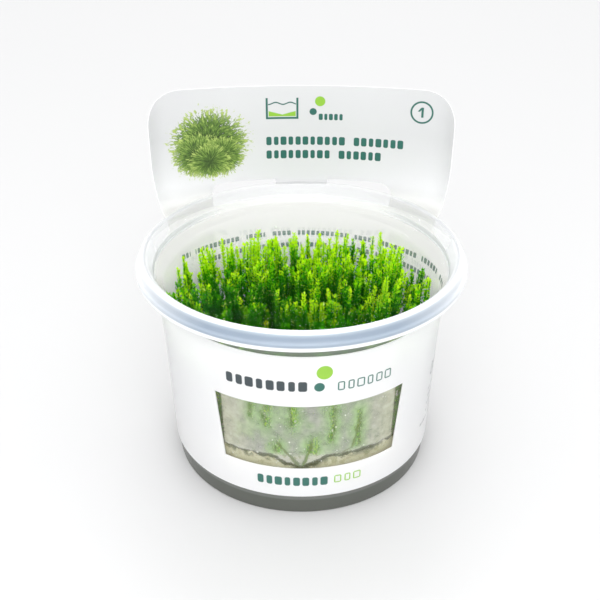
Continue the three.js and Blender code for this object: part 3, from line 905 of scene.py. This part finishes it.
def weld(mesh):
    """Joins the two sides of the seam, drops points that no face uses and sharpens real edges."""
    work = bmesh.new()
    work.from_mesh(mesh)
    loose = [v for v in work.verts if not v.link_faces]
    bmesh.ops.delete(work, geom=loose, context="VERTS")
    bmesh.ops.remove_doubles(work, verts=work.verts, dist=1e-6)
    work.to_mesh(mesh)
    work.free()
    mesh.shade_smooth()
    mesh.set_sharp_from_angle(angle=math.radians(40))
    return mesh


CARD = card_mesh()
print("card:", len(CARD.polygons), "faces")

# %% [markdown]
# ### The print
#
# Print is colour only, so it is drawn in the finish. Nothing is written on this card. Rows of
# blocks stand where a shop's card has its words, a circle holds a plain number, and a drawn tuft
# made of fine strokes stands for a plant picture. Each mark is a distance worked out from the
# flat position: where the distance is under the size of the mark, there is ink.

# %% Print shapes
DARK_INK = (0.040, 0.054, 0.062)
TEAL_INK = (0.027, 0.125, 0.100)
LIME_INK = (0.25, 0.48, 0.045)
PICTURE_DARK = (0.014, 0.032, 0.007)
PICTURE_MID = (0.10, 0.195, 0.028)
PICTURE_LIGHT = (0.43, 0.54, 0.14)
CARD_WHITE = (0.93, 0.93, 0.945)
HEADER_PAINTED_SHADE = (0.63, 0.63, 0.64)
HEADER_SIDE_SHADE = (0.57, 0.57, 0.58)
NECK_PAINTED_SHADE = (0.72, 0.72, 0.73)
PAPER_GLOW = (0.93, 0.93, 0.91)
PICTURE_SHADES = [(0.25, PICTURE_DARK), (0.5, PICTURE_MID), (0.8, PICTURE_LIGHT)]
INK_SOFT = 0.12                     # mm over which ink fades at its edge
WORD_SOFT = 0.02                    # and at the ends of a word, which fall between two blocks


class Press:
    """Prints marks as masks, at places given in mm across and up one side of the card."""

    def __init__(self, finish, across, up):
        self.finish, self.across, self.up = finish, across, up

    def near(self, centre, half, edge_soft=INK_SOFT):
        """A band that runs up the card."""
        return abs(self.across - centre).under(half, edge_soft)

    def level(self, middle, half):
        """A band that runs across the card."""
        return abs(self.up - middle).under(half, INK_SOFT)

    def away(self, centre_across, centre_up):
        return length(self.across - centre_across, self.up - centre_up)

    def disc(self, centre_across, centre_up, radius):
        return self.away(centre_across, centre_up).under(radius, INK_SOFT)

    def ring(self, centre_across, centre_up, radius, thickness):
        away = self.away(centre_across, centre_up)
        return abs(away - radius).under(thickness / 2, INK_SOFT)

    def outline(self, left, right, low, high, thickness):
        dx = abs(self.across - (left + right) / 2) - (right - left) / 2
        dz = abs(self.up - (low + high) / 2) - (high - low) / 2
        return abs(dx.most(dz)).under(thickness / 2, INK_SOFT)

    def words(self, spans, middle, height, pitch, hollow=0.0):
        """Rounded blocks of uneven widths, one where each letter of the words would be."""
        cell = (self.across - spans[0][0]) / pitch
        number = cell.whole()
        half = pitch * (0.355 + 0.055 * (number * 2.4 + height).sine())
        past_side = abs(cell - number - 0.5) * pitch - half
        past_top = abs(self.up - middle) - height / 2
        corner = height * 0.2
        past_corner = length((past_side + corner).most(0), (past_top + corner).most(0))
        mask = past_corner.under(corner, INK_SOFT)
        if hollow:
            mask = mask * (past_side + hollow).most(past_top + hollow).over(0, INK_SOFT)
        return mask * strongest(*[
            (self.across - start).over(0, WORD_SOFT) * (self.across - end).under(0, WORD_SOFT)
            for start, end in spans])

    def dashes(self, middle, thickness, word_size, number):
        """Print too fine to read: short dashes with gaps, from noise along the line."""
        inputs = {0: self.across, 1: 17.3 * number, 2: 0.0}
        along = self.finish.node("ShaderNodeCombineXYZ", inputs=inputs)
        letters = self.finish.noise(along, 2.6 / word_size, 1.0).over(0.47, soft=0.05)
        words = self.finish.noise(along, 0.5 / word_size, 0.0).over(0.36, soft=0.04)
        return self.level(middle, thickness / 2) * letters * words

    def tuft(self, centre_across, centre_up, reach, number):
        """A drawn tuft, strokes that fan out from a point: its mask and its colour."""
        dx, dz = self.across - centre_across, (self.up - centre_up) * 1.15
        away = length(dx, dz)
        inputs = {0: dx.bearing(dz) * 5.0, 1: away * 0.16, 2: 3.7 * number}
        fan = self.finish.node("ShaderNodeCombineXYZ", inputs=inputs)
        strokes = self.finish.noise(fan, 3.4, 3.0, 0.65)
        share = away / reach
        mask = (strokes - 0.2 - 0.42 * share * share).over(0, soft=0.05)
        return mask, self.finish.ramp(PICTURE_SHADES, strokes * 1.3 + share * 0.35 - 0.36)


print("marks are made of distances")

# %% [markdown]
# The card's finish puts the marks together. The inside of the sheet faces the viewer on the
# header, and the outside does on the sleeve, so each mark is kept to its own side. The board
# itself is smooth and white with a faint fibre bump and a little gloss. On the header its inner
# face is painted grey as painted shade, darker towards the sides and lighter down to the neck.
# Where it is a single sheet, light soaks through it, but not where there is ink, on either side.

# %% Card finish


# Lines of words: the spans from and to, the height of the middle, the height of a block, the
# distance from block to block and, for hollow blocks, how thick their outline is.
TITLE = [([(-12.1, 14.9), (17.3, 34.7)], 84.5, 3.0, 2.45),
         ([(-12.1, 10.0), (12.4, 27.2)], 79.6, 3.0, 2.45)]
LEVEL_WORD = ([(5.6, 14.0)], 93.0, 2.2, 1.68)
FINE_PRINT = [
    ([(-46.0, -42.0), (-39.8, -22.0), (-19.6, -12.8), (-10.2, -3.4), (-1.2, 16.6), (19.0, 25.8),
      (28.2, 44.0), (46.4, 55.4), (57.6, 62.0)], 51.1, 1.5, 1.7),
    ([(-38.0, -29.2), (-26.8, -18.0), (-15.6, 0.0), (2.2, 9.0), (11.4, 24.8), (27.2, 36.0),
      (38.4, 54.0)], 47.2, 1.5, 1.7)]
FAINT_WORDS = ([(-24.5, -12.9), (-9.5, -0.8), (3.0, 26.2)], 53.9, 2.3, 2.9)
DARK_WORD = ([(-22.8, 1.9)], 48.6, 3.4, 3.08)
THIN_WORD = ([(9.8, 27.6)], 48.0, 3.1, 2.96, 0.42)
BOLD_WORD = ([(-14.2, 8.4)], 13.3, 3.3, 2.82)
LIME_WORD = ([(9.7, 19.2)], 13.4, 2.9, 3.16, 0.42)
HEADING = ([(51.5, 89.3)], 35.2, 4.8, 4.2, 0.7)

# The tufts of the drawn plant: place across and up, reach, and a number that makes each differ.
PICTURE = [(-31.0, 85.0, 14.5, 1), (-35.0, 81.0, 9.5, 2), (-27.0, 80.0, 8.5, 3),
           (-31.0, 78.5, 7.5, 4)]
BADGE_S, BADGE_Z = 39.7, 96.2       # the middle of the circle with the number
TANK_S = -6.35                      # the middle of the small tank, with a slope of ground in it

# How much light soaks through the header, and how much more through the card below it and
# through the collar behind the lid.
HEADER_LIGHT, SINGLE_LIGHT, COLLAR_LIGHT = 0.06, 0.36, 0.46


def badge_marks(back):
    """A circle with a plain 1 in it: an upright stroke and a slanted flag at its top."""
    s, z = back.across, back.up
    stroke = back.near(BADGE_S + 0.2, 0.38) * back.level(BADGE_Z, 1.7)
    slant = abs(s - (BADGE_S - 0.5) - (z - 97.1) * 0.8).under(0.4, INK_SOFT)
    return strongest(
        back.ring(BADGE_S, BADGE_Z, 3.5, 0.6), stroke, slant * back.level(97.1, 0.65))


def tank_marks(back):
    """A tank open at the top, with waves."""
    s, z = back.across, back.up
    walls = back.outline(-11.4, -1.3, 92.6, 100.2, 0.7) * z.under(99.6, 0.1)
    wave = (s * 1.3).sine() * 0.35
    return walls.most(abs(z - 97.7 - wave).under(0.22, INK_SOFT) * back.near(TANK_S, 4.6))


def small_print(front):
    """Five lines of small print, and one short line apart from them."""
    lines = strongest(*[front.dashes(28.0 - 2.8 * row, 1.1, 0.8, row + 4) for row in range(5)])
    stamp = front.dashes(16.8, 0.9, 1.4, 21) * front.near(49.5, 2.5, 0.2)
    return (lines * front.near(71.0, 19.0, 0.2)).most(stamp)


def card_finish():
    finish = Finish("printed_card")
    u, v, _ = finish.parts(finish.node("ShaderNodeUVMap", {"uv_map": "flat"}))
    s, z = u / MM, v / MM
    outer = finish.node("ShaderNodeAttribute", {"attribute_name": "outer_face"}, output="Fac")
    inner = 1 - outer
    # The back counts from the middle of the header, and the front from the middle of the front.
    back = Press(finish, s, z)
    front = Press(finish, (s * -1).wrapped(GIRTH, 0.0) - GIRTH / 2, z)

    teal_marks = strongest(
        *[back.words(*line) for line in TITLE], badge_marks(back), tank_marks(back),
        back.words(*LEVEL_WORD), back.disc(3.9, 94.8, 1.2))
    ground_line = z - 93.8 - abs(s + 6.3) * 0.28
    slope = ground_line.under(0, 0.2) * z.over(93.2, 0.1) * back.near(TANK_S, 4.5, 0.1)
    lime_marks = slope.most(back.disc(6.2, 98.4, 1.7))
    fine = strongest(*[back.words(*line) for line in FINE_PRINT])
    faint = back.words(*FAINT_WORDS)
    tufts = [back.tuft(*place) for place in PICTURE]
    dark = front.words(*DARK_WORD)
    teal = strongest(front.words(*THIN_WORD), front.words(*BOLD_WORD), front.disc(5.0, 48.3, 1.5))
    lime = front.words(*LIME_WORD).most(front.disc(6.4, 53.2, 2.3))
    grey = front.words(*HEADING).most(small_print(front))

    # Painted shade: the header's inner face is painted grey, darker towards its sides and lighter
    # down towards the neck.
    header = finish.mix(abs(s).over(38.0, soft=30.0), HEADER_PAINTED_SHADE, HEADER_SIDE_SHADE)
    header = finish.mix(z.over(77.0, soft=22.0), NECK_PAINTED_SHADE, header)
    colour = finish.painted(
        CARD_WHITE,
        (inner * z.over(66.0, soft=4.0), header),
        (teal_marks * inner, TEAL_INK),
        (lime_marks * inner, LIME_INK),
        *[(mask * inner, green) for mask, green in tufts],
        (fine * inner, TEAL_INK),
        (faint * inner * 0.14, TEAL_INK),
        (dark * outer, DARK_INK),
        (teal * outer, TEAL_INK),
        (lime * outer, LIME_INK),
        (grey * outer * 0.75, DARK_INK))

    place = finish.place()
    fibre = finish.noise(place, 1400, 3, 0.6)
    cloud = finish.noise(place, 24, 2)
    board = finish.principled(
        Base_Color=colour, Roughness=0.36 + 0.12 * cloud, Specular_IOR_Level=0.4,
        Normal=finish.bump(fibre, 0.00002, 0.35))
    single = z.under(68.0, soft=6.0)
    collar = (z.over(46.0, soft=8.0) * z.under(67.0, soft=4.0)
              * abs(s).under(70.0, soft=14.0))
    ink = strongest(teal_marks, lime_marks, fine) * inner
    ink = ink.most(strongest(dark, teal, lime) * outer)
    through = (HEADER_LIGHT + SINGLE_LIGHT * single + COLLAR_LIGHT * collar) * (1 - 0.9 * ink)
    return finish.finished(finish.blend(through, board, finish.translucent(PAPER_GLOW)))


card = add_piece("card", CARD, card_finish(), ["card_sleeve"])
print("print made of", len(card.data.materials[0].node_tree.nodes), "nodes")

# %% [markdown]
# ## The moss
#
# A shoot of this moss is a thin upright stem hidden by small pointed leaves, set in a spiral
# and overlapping like tiles. There are hundreds of shoots and tens of thousands of leaves.
# Particles or instances would be quick, but an exported model loses them, so all the leaves of
# a tuft are worked out as arrays and become one mesh.
#
# First the ground plan: a triangular grid of places, each nudged by chance and thinned towards
# the sides, where the growth in the cup has gaps.

# %% Where shoots stand
SHOOT_PITCH = 2.6
ROW_PITCH = SHOOT_PITCH * 0.866     # the height of a triangle with sides of one pitch
SHOOT_NUDGE = 0.9
TIP_Z = 50.8
SHORTEST_Z, TALLEST_Z = 42.0, 58.8
# How high the moss stands at the back, from left to right.
SKYLINE_X = [-40, -35, -31, -26, -20, -13, -5, 3, 12, 18, 24, 27, 33, 37, 40]
SKYLINE_Z = [57.5, 56.8, 52.4, 54.2, 51.4, 53.0, 52.2, 51.4, 53.4, 53.2, 56.0, 56.0, 52.8,
             55.0, 55.5]
# Shoots at the wall behind the window: degrees from the front, and the height of the tip.
WINDOW_SHOOTS = [(-28.0, 50), (-20.5, 53), (-14.2, 52), (-9.8, 27), (-3.2, 52), (3.3, 27),
                 (5.6, 28), (12.4, 53), (24.0, 51)]
WALL_CLEARANCE, LEAF_CLEARANCE = 0.6, 0.12  # from the wall to stems and to leaves
chance = np.random.default_rng(20417)
WAVES = chance.uniform(-0.34, 0.34, (14, 2))
WAVE_STARTS = chance.uniform(0, 2 * math.pi, 14)


def patchiness(x, y, first, last):
    """A smooth number between about -1 and 1 that changes from clump to clump."""
    waves = WAVES[first:last]
    total = np.sin(x * waves[:, 0] + y * waves[:, 1] + WAVE_STARTS[first:last]).sum()
    return float(total / math.sqrt(last - first))


def tip_height(x, y):
    """Even in front but for chance, and along the skyline at the back."""
    back = smooth_step(y, 2, 22)
    skyline = np.interp(x, SKYLINE_X, SKYLINE_Z)
    left = smooth_step(-x, 26, 38)
    uneven = 1.8 * patchiness(x, y, 0, 7) + chance.normal(0, 2.6)
    return (TIP_Z + 2.0 * left) * (1 - back) + (skyline - 0.4) * back + uneven * (1 - 0.35 * back)


def shoot_places():
    places = []
    rows = int(45 / ROW_PITCH)
    edge = inner_wall_radius(GEL_TOP_Z) - WALL_CLEARANCE - 0.4
    for row in range(-rows, rows + 1):
        for column in range(-16, 17):
            x = (column + 0.5 * (row % 2)) * SHOOT_PITCH + chance.uniform(-SHOOT_NUDGE, SHOOT_NUDGE)
            y = row * ROW_PITCH + chance.uniform(-SHOOT_NUDGE, SHOOT_NUDGE)
            distance = math.hypot(x, y)
            kept = chance.random()
            thin_sides = 0.4 * smooth_step(abs(x), 24, 33) * smooth_step(y, -6, 8)
            thin_edge = 0.06 * smooth_step(distance, 34, 40)
            if distance <= edge and kept > thin_sides + thin_edge:
                places.append((x, y, 0))
    return places


def window_places():
    """Shoots that grew against the wall behind the card's window."""
    places = []
    for degrees, tip_z in WINDOW_SHOOTS:
        angle = math.radians(degrees)
        radius = inner_wall_radius(GEL_TOP_Z) - chance.uniform(0.7, 1.1)
        places.append((radius * math.sin(angle), -radius * math.cos(angle), tip_z))
    return places


PLACES = shoot_places() + window_places()
print(len(PLACES), "shoots")

# %% [markdown]
# ### One leaf
#
# A leaf this small needs only its outline and a fold down the middle: five points and four
# triangles. The fold matters more than the outline, because it catches light on one half and
# leaves the other in shade, which is what gives the moss its sparkle.

# %% Leaf
# Each row is how far along the leaf, how far to the side and how far up a point is.
LEAF_POINTS = np.array([
    (0.00, 0.00, 0.00),
    (0.45, 0.38, 0.10),
    (0.45, -0.38, 0.10),
    (0.48, 0.00, -0.05),
    (1.00, 0.00, 0.20),
])
LEAF_FACES = np.array([(0, 3, 1), (0, 2, 3), (1, 3, 4), (3, 2, 4)])
GOLDEN_ANGLE = math.radians(137.5)
KNOB_LENGTH = 1.35                  # leaves are longer and shorter by turns along a stem
# Leaves near the tip are lighter as young growth; the darker leaves below are also painted shade
# for the depths between shoots.
LEAFY_LENGTH = 10.0                 # how far below the tip leaves stand close and are bright
BARE_SPACING = 2.2                  # how many times as far apart they stand lower down
YOUNG_LENGTH = 1.8                  # how far below the tip leaves are still folded upwards
LEAF_SLANT = 38                     # degrees above the level
STEM_RADIUS = 0.3


def leaves_along(line, radius, spacing, tone, painted_lift):
    """Leaves round a stem. line has points in mm from bottom to top. Returns points and tones."""
    steps = np.linalg.norm(np.diff(line, axis=0), axis=1)
    travel = np.concatenate([[0], np.cumsum(steps)])
    total = travel[-1]
    leafy_from = max(total - LEAFY_LENGTH, 0.5)
    places = np.concatenate([np.arange(0.5, leafy_from, spacing * BARE_SPACING),
                             np.arange(leafy_from, total, spacing)])
    count = len(places)

    def along_stem(places):
        return np.stack([np.interp(places, travel, line[:, i]) for i in range(3)], -1)

    axis = unit(along_stem(places + 0.5) - along_stem(places - 0.5))
    turn = np.arange(count) * GOLDEN_ANGLE + chance.uniform(-0.35, 0.35, count)
    side = unit(np.cross(axis, (0.0, 1.0, 0.02)))
    outward = side * np.cos(turn)[:, None] + np.cross(axis, side) * np.sin(turn)[:, None]
    left = np.cross(axis, outward)
    to_tip = total - places
    young = 1 - smooth_step(to_tip, 0.0, YOUNG_LENGTH)
    climb = np.radians(LEAF_SLANT + chance.uniform(-26, 22, count)) + young * 0.35
    knobs = 0.84 + 0.30 * np.sin(places * 2 * math.pi / KNOB_LENGTH + chance.uniform(0, 6.3))
    size = radius * knobs * chance.uniform(0.75, 1.2, count)
    along = outward * np.cos(climb)[:, None] + axis * np.sin(climb)[:, None]
    up = axis * np.cos(climb)[:, None] - outward * np.sin(climb)[:, None]
    directions = np.stack([along, left, up], 1)
    foot = along_stem(places) + outward * 0.22
    points = foot[:, None] + size[:, None, None] * (LEAF_POINTS @ directions)
    # Lighter near the tip as young growth, darker below as painted shade. It never falls below the
    # painted lift, which keeps some shoots light down to the foot as painted light.
    rise = np.clip(1 - to_tip / LEAFY_LENGTH, painted_lift, 1)
    tones = np.column_stack([rise, np.full(count, tone), chance.random(count)])
    return points.reshape(-1, 3), np.repeat(tones, len(LEAF_POINTS), axis=0)


def stem_tube(line, radius, sides=5):
    """A thin tube along a stem, closed at the top by drawing it to a point."""
    angles = np.arange(sides) / sides * 2 * math.pi
    ring = np.column_stack([np.cos(angles), np.sin(angles), np.zeros(sides)]) * radius
    width = np.linspace(1.0, 0.5, len(line))
    points = (line[:, None] + ring[None] * width[:, None, None]).reshape(-1, 3)
    faces = []
    last = (len(line) - 1) * sides
    for low in range(0, last, sides):
        for i, j in around(sides):
            a, b = low + i, low + j
            faces += [(a, b, b + sides), (a, b + sides, a + sides)]
    tip = len(points)
    points = np.vstack([points, line[-1] + (0, 0, radius)])
    faces += [(last + i, last + j, tip) for i, j in around(sides)]
    faces += [(0, j + 1, j) for j in range(1, sides - 1)]
    return points, np.array(faces)


print("a leaf has", len(LEAF_FACES), "triangles")

# %% [markdown]
# ### One shoot, and all of them
#
# A shoot leans and bends a little, as if it had grown towards the light. About a third carry
# a side branch or two near the top. Shoots that would grow through the wall are held inside it.
# Every shoot belongs to the tuft whose solid in the frame is nearest, and each tuft is one
# piece that stands for that solid.

# %% Shoots
STEM_START_Z = 17.5                 # stems reach down into the gel
MAIN_SPACING, SIDE_SPACING = 0.17, 0.18     # from leaf to leaf
BRANCHING = 0.36                    # the share of shoots that branch


def held_inside(points, clearance):
    """Points outside the inner face of the cup's wall are moved straight in to it."""
    distance = np.maximum(np.hypot(points[:, 0], points[:, 1]), 1e-6)
    limit = inner_wall_radius(points[:, 2]) - clearance
    points[:, :2] *= np.minimum(1, limit / distance)[:, None]
    return points


def stem_line(x, y, tip_z, lean, bend, steps=9):
    t = np.linspace(0, 1, steps)
    height = tip_z - STEM_START_Z
    line = np.column_stack([
        x + lean[0] * t * height + bend[0] * t ** 3,
        y + lean[1] * t * height + bend[1] * t ** 3,
        STEM_START_Z + height * t])
    return held_inside(line, WALL_CLEARANCE)


def branch_line(line, share, heading, reach):
    start = line[int(share * (len(line) - 1))]
    t = np.linspace(0, 1, 4)[:, None]
    out = np.array([math.cos(heading), math.sin(heading), 0]) * reach * 0.5
    climb = np.array([0, 0, 1]) * reach * 0.85
    points = start + out * t + climb * (0.35 * t + 0.65 * t ** 1.6)
    points[:, 2] = np.minimum(points[:, 2], TALLEST_Z - 1)
    return held_inside(points, WALL_CLEARANCE)


def shoot_tone(x, y):
    """A shoot's tone: 0 for the deep green middle, more towards wall and back, which is painted
    shade in the middle front and painted light at wall and back, and some by chance.
    """
    outward = smooth_step(math.hypot(x * 0.9, y + 6), 12, 38)
    base = 0.02 + 0.52 * outward + 0.3 * smooth_step(y, 10, 26)
    return min(max(base + 0.3 * patchiness(x, y, 7, 14) + chance.normal(0, 0.17), 0), 1)


def shoot_parts(x, y, fixed_tip_z):
    """The leafy stems of one shoot: (line, leaf radius, spacing, tone, painted lift) for each."""
    tip_z = min(max(tip_height(x, y), SHORTEST_Z), TALLEST_Z - 0.6)
    lean = chance.normal(0, 0.05, 2) + np.array((x * 1.4, y)) / 40 * 0.10
    bend = chance.normal(0, 1.1, 2)
    radius = chance.uniform(1.0, 1.42)
    tone = shoot_tone(x, y)
    if fixed_tip_z:
        # Painted light: shoots against the window's wall get a lighter tone and stay light down to
        # the foot, for the little light that reaches them.
        line = stem_line(x, y, fixed_tip_z, (0, 0), bend * 0.3)
        return [(line, radius, SIDE_SPACING, 0.75, 0.6)]
    main = stem_line(x, y, tip_z, lean, bend)
    parts = [(main, radius, MAIN_SPACING, tone, 0)]
    if chance.random() < BRANCHING:
        for _ in range(chance.integers(1, 3)):
            line = branch_line(main, chance.uniform(0.5, 0.85), chance.uniform(0, 2 * math.pi),
                               chance.uniform(4, 8))
            parts.append((line, radius * 0.85, SIDE_SPACING, tone, 0))
    return parts


TUFTS = sorted(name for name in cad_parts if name.startswith("moss_tuft"))
TUFT_CENTRES = np.array([[(a + b) / 2 / MM for a, b in zip(*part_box(name))][:2] for name in TUFTS])


def tuft_mesh(name, places):
    points, faces, tones, total = [], [], [], 0
    for place in places:
        for line, radius, spacing, tone, painted_lift in shoot_parts(*place):
            leaf_points, leaf_tones = leaves_along(line, radius, spacing, tone, painted_lift)
            stem_points, stem_faces = stem_tube(line, STEM_RADIUS)
            leaf_count = len(leaf_points) // len(LEAF_POINTS)
            starts = np.arange(leaf_count)[:, None, None] * len(LEAF_POINTS)
            faces.append((LEAF_FACES[None] + starts).reshape(-1, 3) + total)
            total += len(leaf_points)
            faces.append(stem_faces + total)
            total += len(stem_points)
            stem_tones = np.tile((0.0, tone, 0.5), (len(stem_points), 1))
            points += [leaf_points, stem_points]
            tones += [leaf_tones, stem_tones]
    points, tones = held_inside(np.vstack(points), LEAF_CLEARANCE), np.vstack(tones)
    mesh = new_mesh(name, points * MM, np.vstack(faces).tolist())
    data = mesh.attributes.new("growth", "FLOAT_VECTOR", "POINT")
    data.data.foreach_set("vector", tones.astype(np.float32).ravel())
    return mesh


# %% [markdown]
# ### Moss green
#
# Young tips are yellow-green and the old leaves below are deep green, some shoots are more
# olive than others, and leaves glow when light comes through them. So the colour follows how
# near a leaf is to its tip, a number for each shoot and one for each leaf, which the mesh
# carries. The deep green lower down is also painted shade for the depths between shoots, and
# the shoots' numbers are painted shade in the middle front and painted light towards the wall
# and the back. A few pale leaves near the tips are painted highlights, glints. Light through a
# leaf is a translucent shader. There is a deep one and a fresh one, each of one colour, and
# the same number mixes them. Together they are mixed into the glossy shader by a fixed share.

# %% Moss finish
DEEP_GREEN = (0.004, 0.085, 0.0003)
MID_GREEN = (0.065, 0.45, 0.0006)
FRESH_GREEN = (0.26, 0.78, 0.003)
TIP_GREEN = (0.66, 1.0, 0.010)
DEEP_GLOW = (0.030, 0.40, 0.0005)
TIP_GLOW = TIP_GREEN
OLIVE = (0.42, 0.48, 0.01)
# Painted highlights: a few leaves near the tips are painted pale, as glints.
PAINTED_LEAF_GLINT = (0.78, 1.0, 0.2)
GREENS = [(0.0, DEEP_GREEN), (0.5, MID_GREEN), (0.78, FRESH_GREEN), (1.0, TIP_GREEN)]
GLOW_SHARE = 0.35


def moss_finish():
    finish = Finish("moss_leaves")
    growth = finish.node("ShaderNodeAttribute", {"attribute_name": "growth"}, output="Vector")
    rise, shoot, leaf = finish.parts(growth)
    # Lighter towards the tip, as young growth and as painted shade lower down, then by chance from
    # leaf to leaf, and by each shoot's tone, which is partly painted light and shade.
    light = rise ** 1.25 * 0.95 + (leaf - 0.5) * 0.65 + (shoot - 0.5) * 1.4 + 0.12
    green = finish.painted(
        finish.ramp(GREENS, light),
        (shoot.over(0.9, soft=0.3) * 0.25, OLIVE),
        (leaf.over(0.975, soft=0.01) * rise, PAINTED_LEAF_GLINT))
    shiny = finish.principled(Base_Color=green, Roughness=0.45, Specular_IOR_Level=0.03)
    deep, fresh = finish.translucent(DEEP_GLOW), finish.translucent(TIP_GLOW)
    glow = finish.blend(light.over(0.75, soft=0.6), deep, fresh)
    return finish.finished(finish.blend(GLOW_SHARE, shiny, glow))


def grow_moss():
    places = np.array(PLACES)
    nearest = np.argmin(np.linalg.norm(places[:, None, :2] - TUFT_CENTRES[None], axis=2), axis=1)
    material = moss_finish()
    triangles = 0
    for index, name in enumerate(TUFTS):
        mesh = tuft_mesh(name.replace("moss_tuft", "moss_shoots"), places[nearest == index])
        add_piece(mesh.name, mesh, material, [name])
        triangles += len(mesh.polygons)
    print("moss:", triangles, "triangles in", len(TUFTS), "tufts")


grow_moss()

# %% [markdown]
# ## Drops of water
#
# The air in the cup is wet, and drops hang on the inside of the wall. Each is a low dome of
# water that lies against the plastic, painted mostly white as painted highlights. They are
# separate little bodies in one mesh.

# %% Drops
WATER_IOR = 1.333
DROP_COUNT = 230
DROP_RINGS, DROP_SIDES = 4, 10
DROP_RISE = 0.55                    # how far a drop stands off the wall, for each mm of radius
DROP_SAG = 1.1                      # how much taller than wide it is


def water_finish():
    finish = Finish("water")
    # Painted highlights: the drops are mostly white, with only a share of clear water, so that they
    # show as bright specks.
    shader = finish.principled(
        Base_Color=(0.99, 0.99, 0.99), Roughness=0.04, IOR=WATER_IOR, Transmission_Weight=0.3)
    return finish.finished(shader)


def drop_place():
    """Where a drop hangs and its size: the angle from the front, the height and the radius."""
    in_window = chance.random() < 0.7
    angle = math.radians(chance.uniform(-34, 44) if in_window else chance.uniform(-180, 180))
    z = chance.uniform(24, 42) if in_window else chance.uniform(26, 58)
    size = 0.14 + 0.5 * chance.random() ** 3
    if chance.random() < 0.1:       # some gather at the right of the window
        angle, z = math.radians(chance.normal(31, 2)), chance.normal(37.7, 1.2)
    return angle, z, size


def drops_mesh():
    points, faces = [], []
    for _ in range(DROP_COUNT):
        angle, z, size = drop_place()
        radius = inner_wall_radius(z) - 0.03
        out = np.array([math.sin(angle), -math.cos(angle), 0.0])
        across = np.array([math.cos(angle), math.sin(angle), 0.0])
        centre = out * radius + np.array([0, 0, z])
        base = len(points)
        for ring in range(DROP_RINGS):
            tilt = math.pi / 2 * ring / DROP_RINGS
            for side in range(DROP_SIDES):
                turn = 2 * math.pi * side / DROP_SIDES
                flat = across * math.cos(turn) + np.array([0, 0, DROP_SAG]) * math.sin(turn)
                inward = -out * DROP_RISE * math.sin(tilt)
                points.append(centre + size * (flat * math.cos(tilt) + inward))
        points.append(centre - out * size * DROP_RISE)
        top = len(points) - 1
        last = top - DROP_SIDES
        for low in range(base, last, DROP_SIDES):
            faces += [(low + i, low + i + DROP_SIDES, low + j + DROP_SIDES, low + j)
                      for i, j in around(DROP_SIDES)]
        faces += [(last + i, top, last + j) for i, j in around(DROP_SIDES)]
        faces.append(tuple(range(base, base + DROP_SIDES)))
    mesh = new_mesh("drops", np.array(points) * MM, faces)
    mesh.shade_smooth()
    return mesh


add_piece("drops", drops_mesh(), water_finish(), [])
print(DROP_COUNT, "drops")
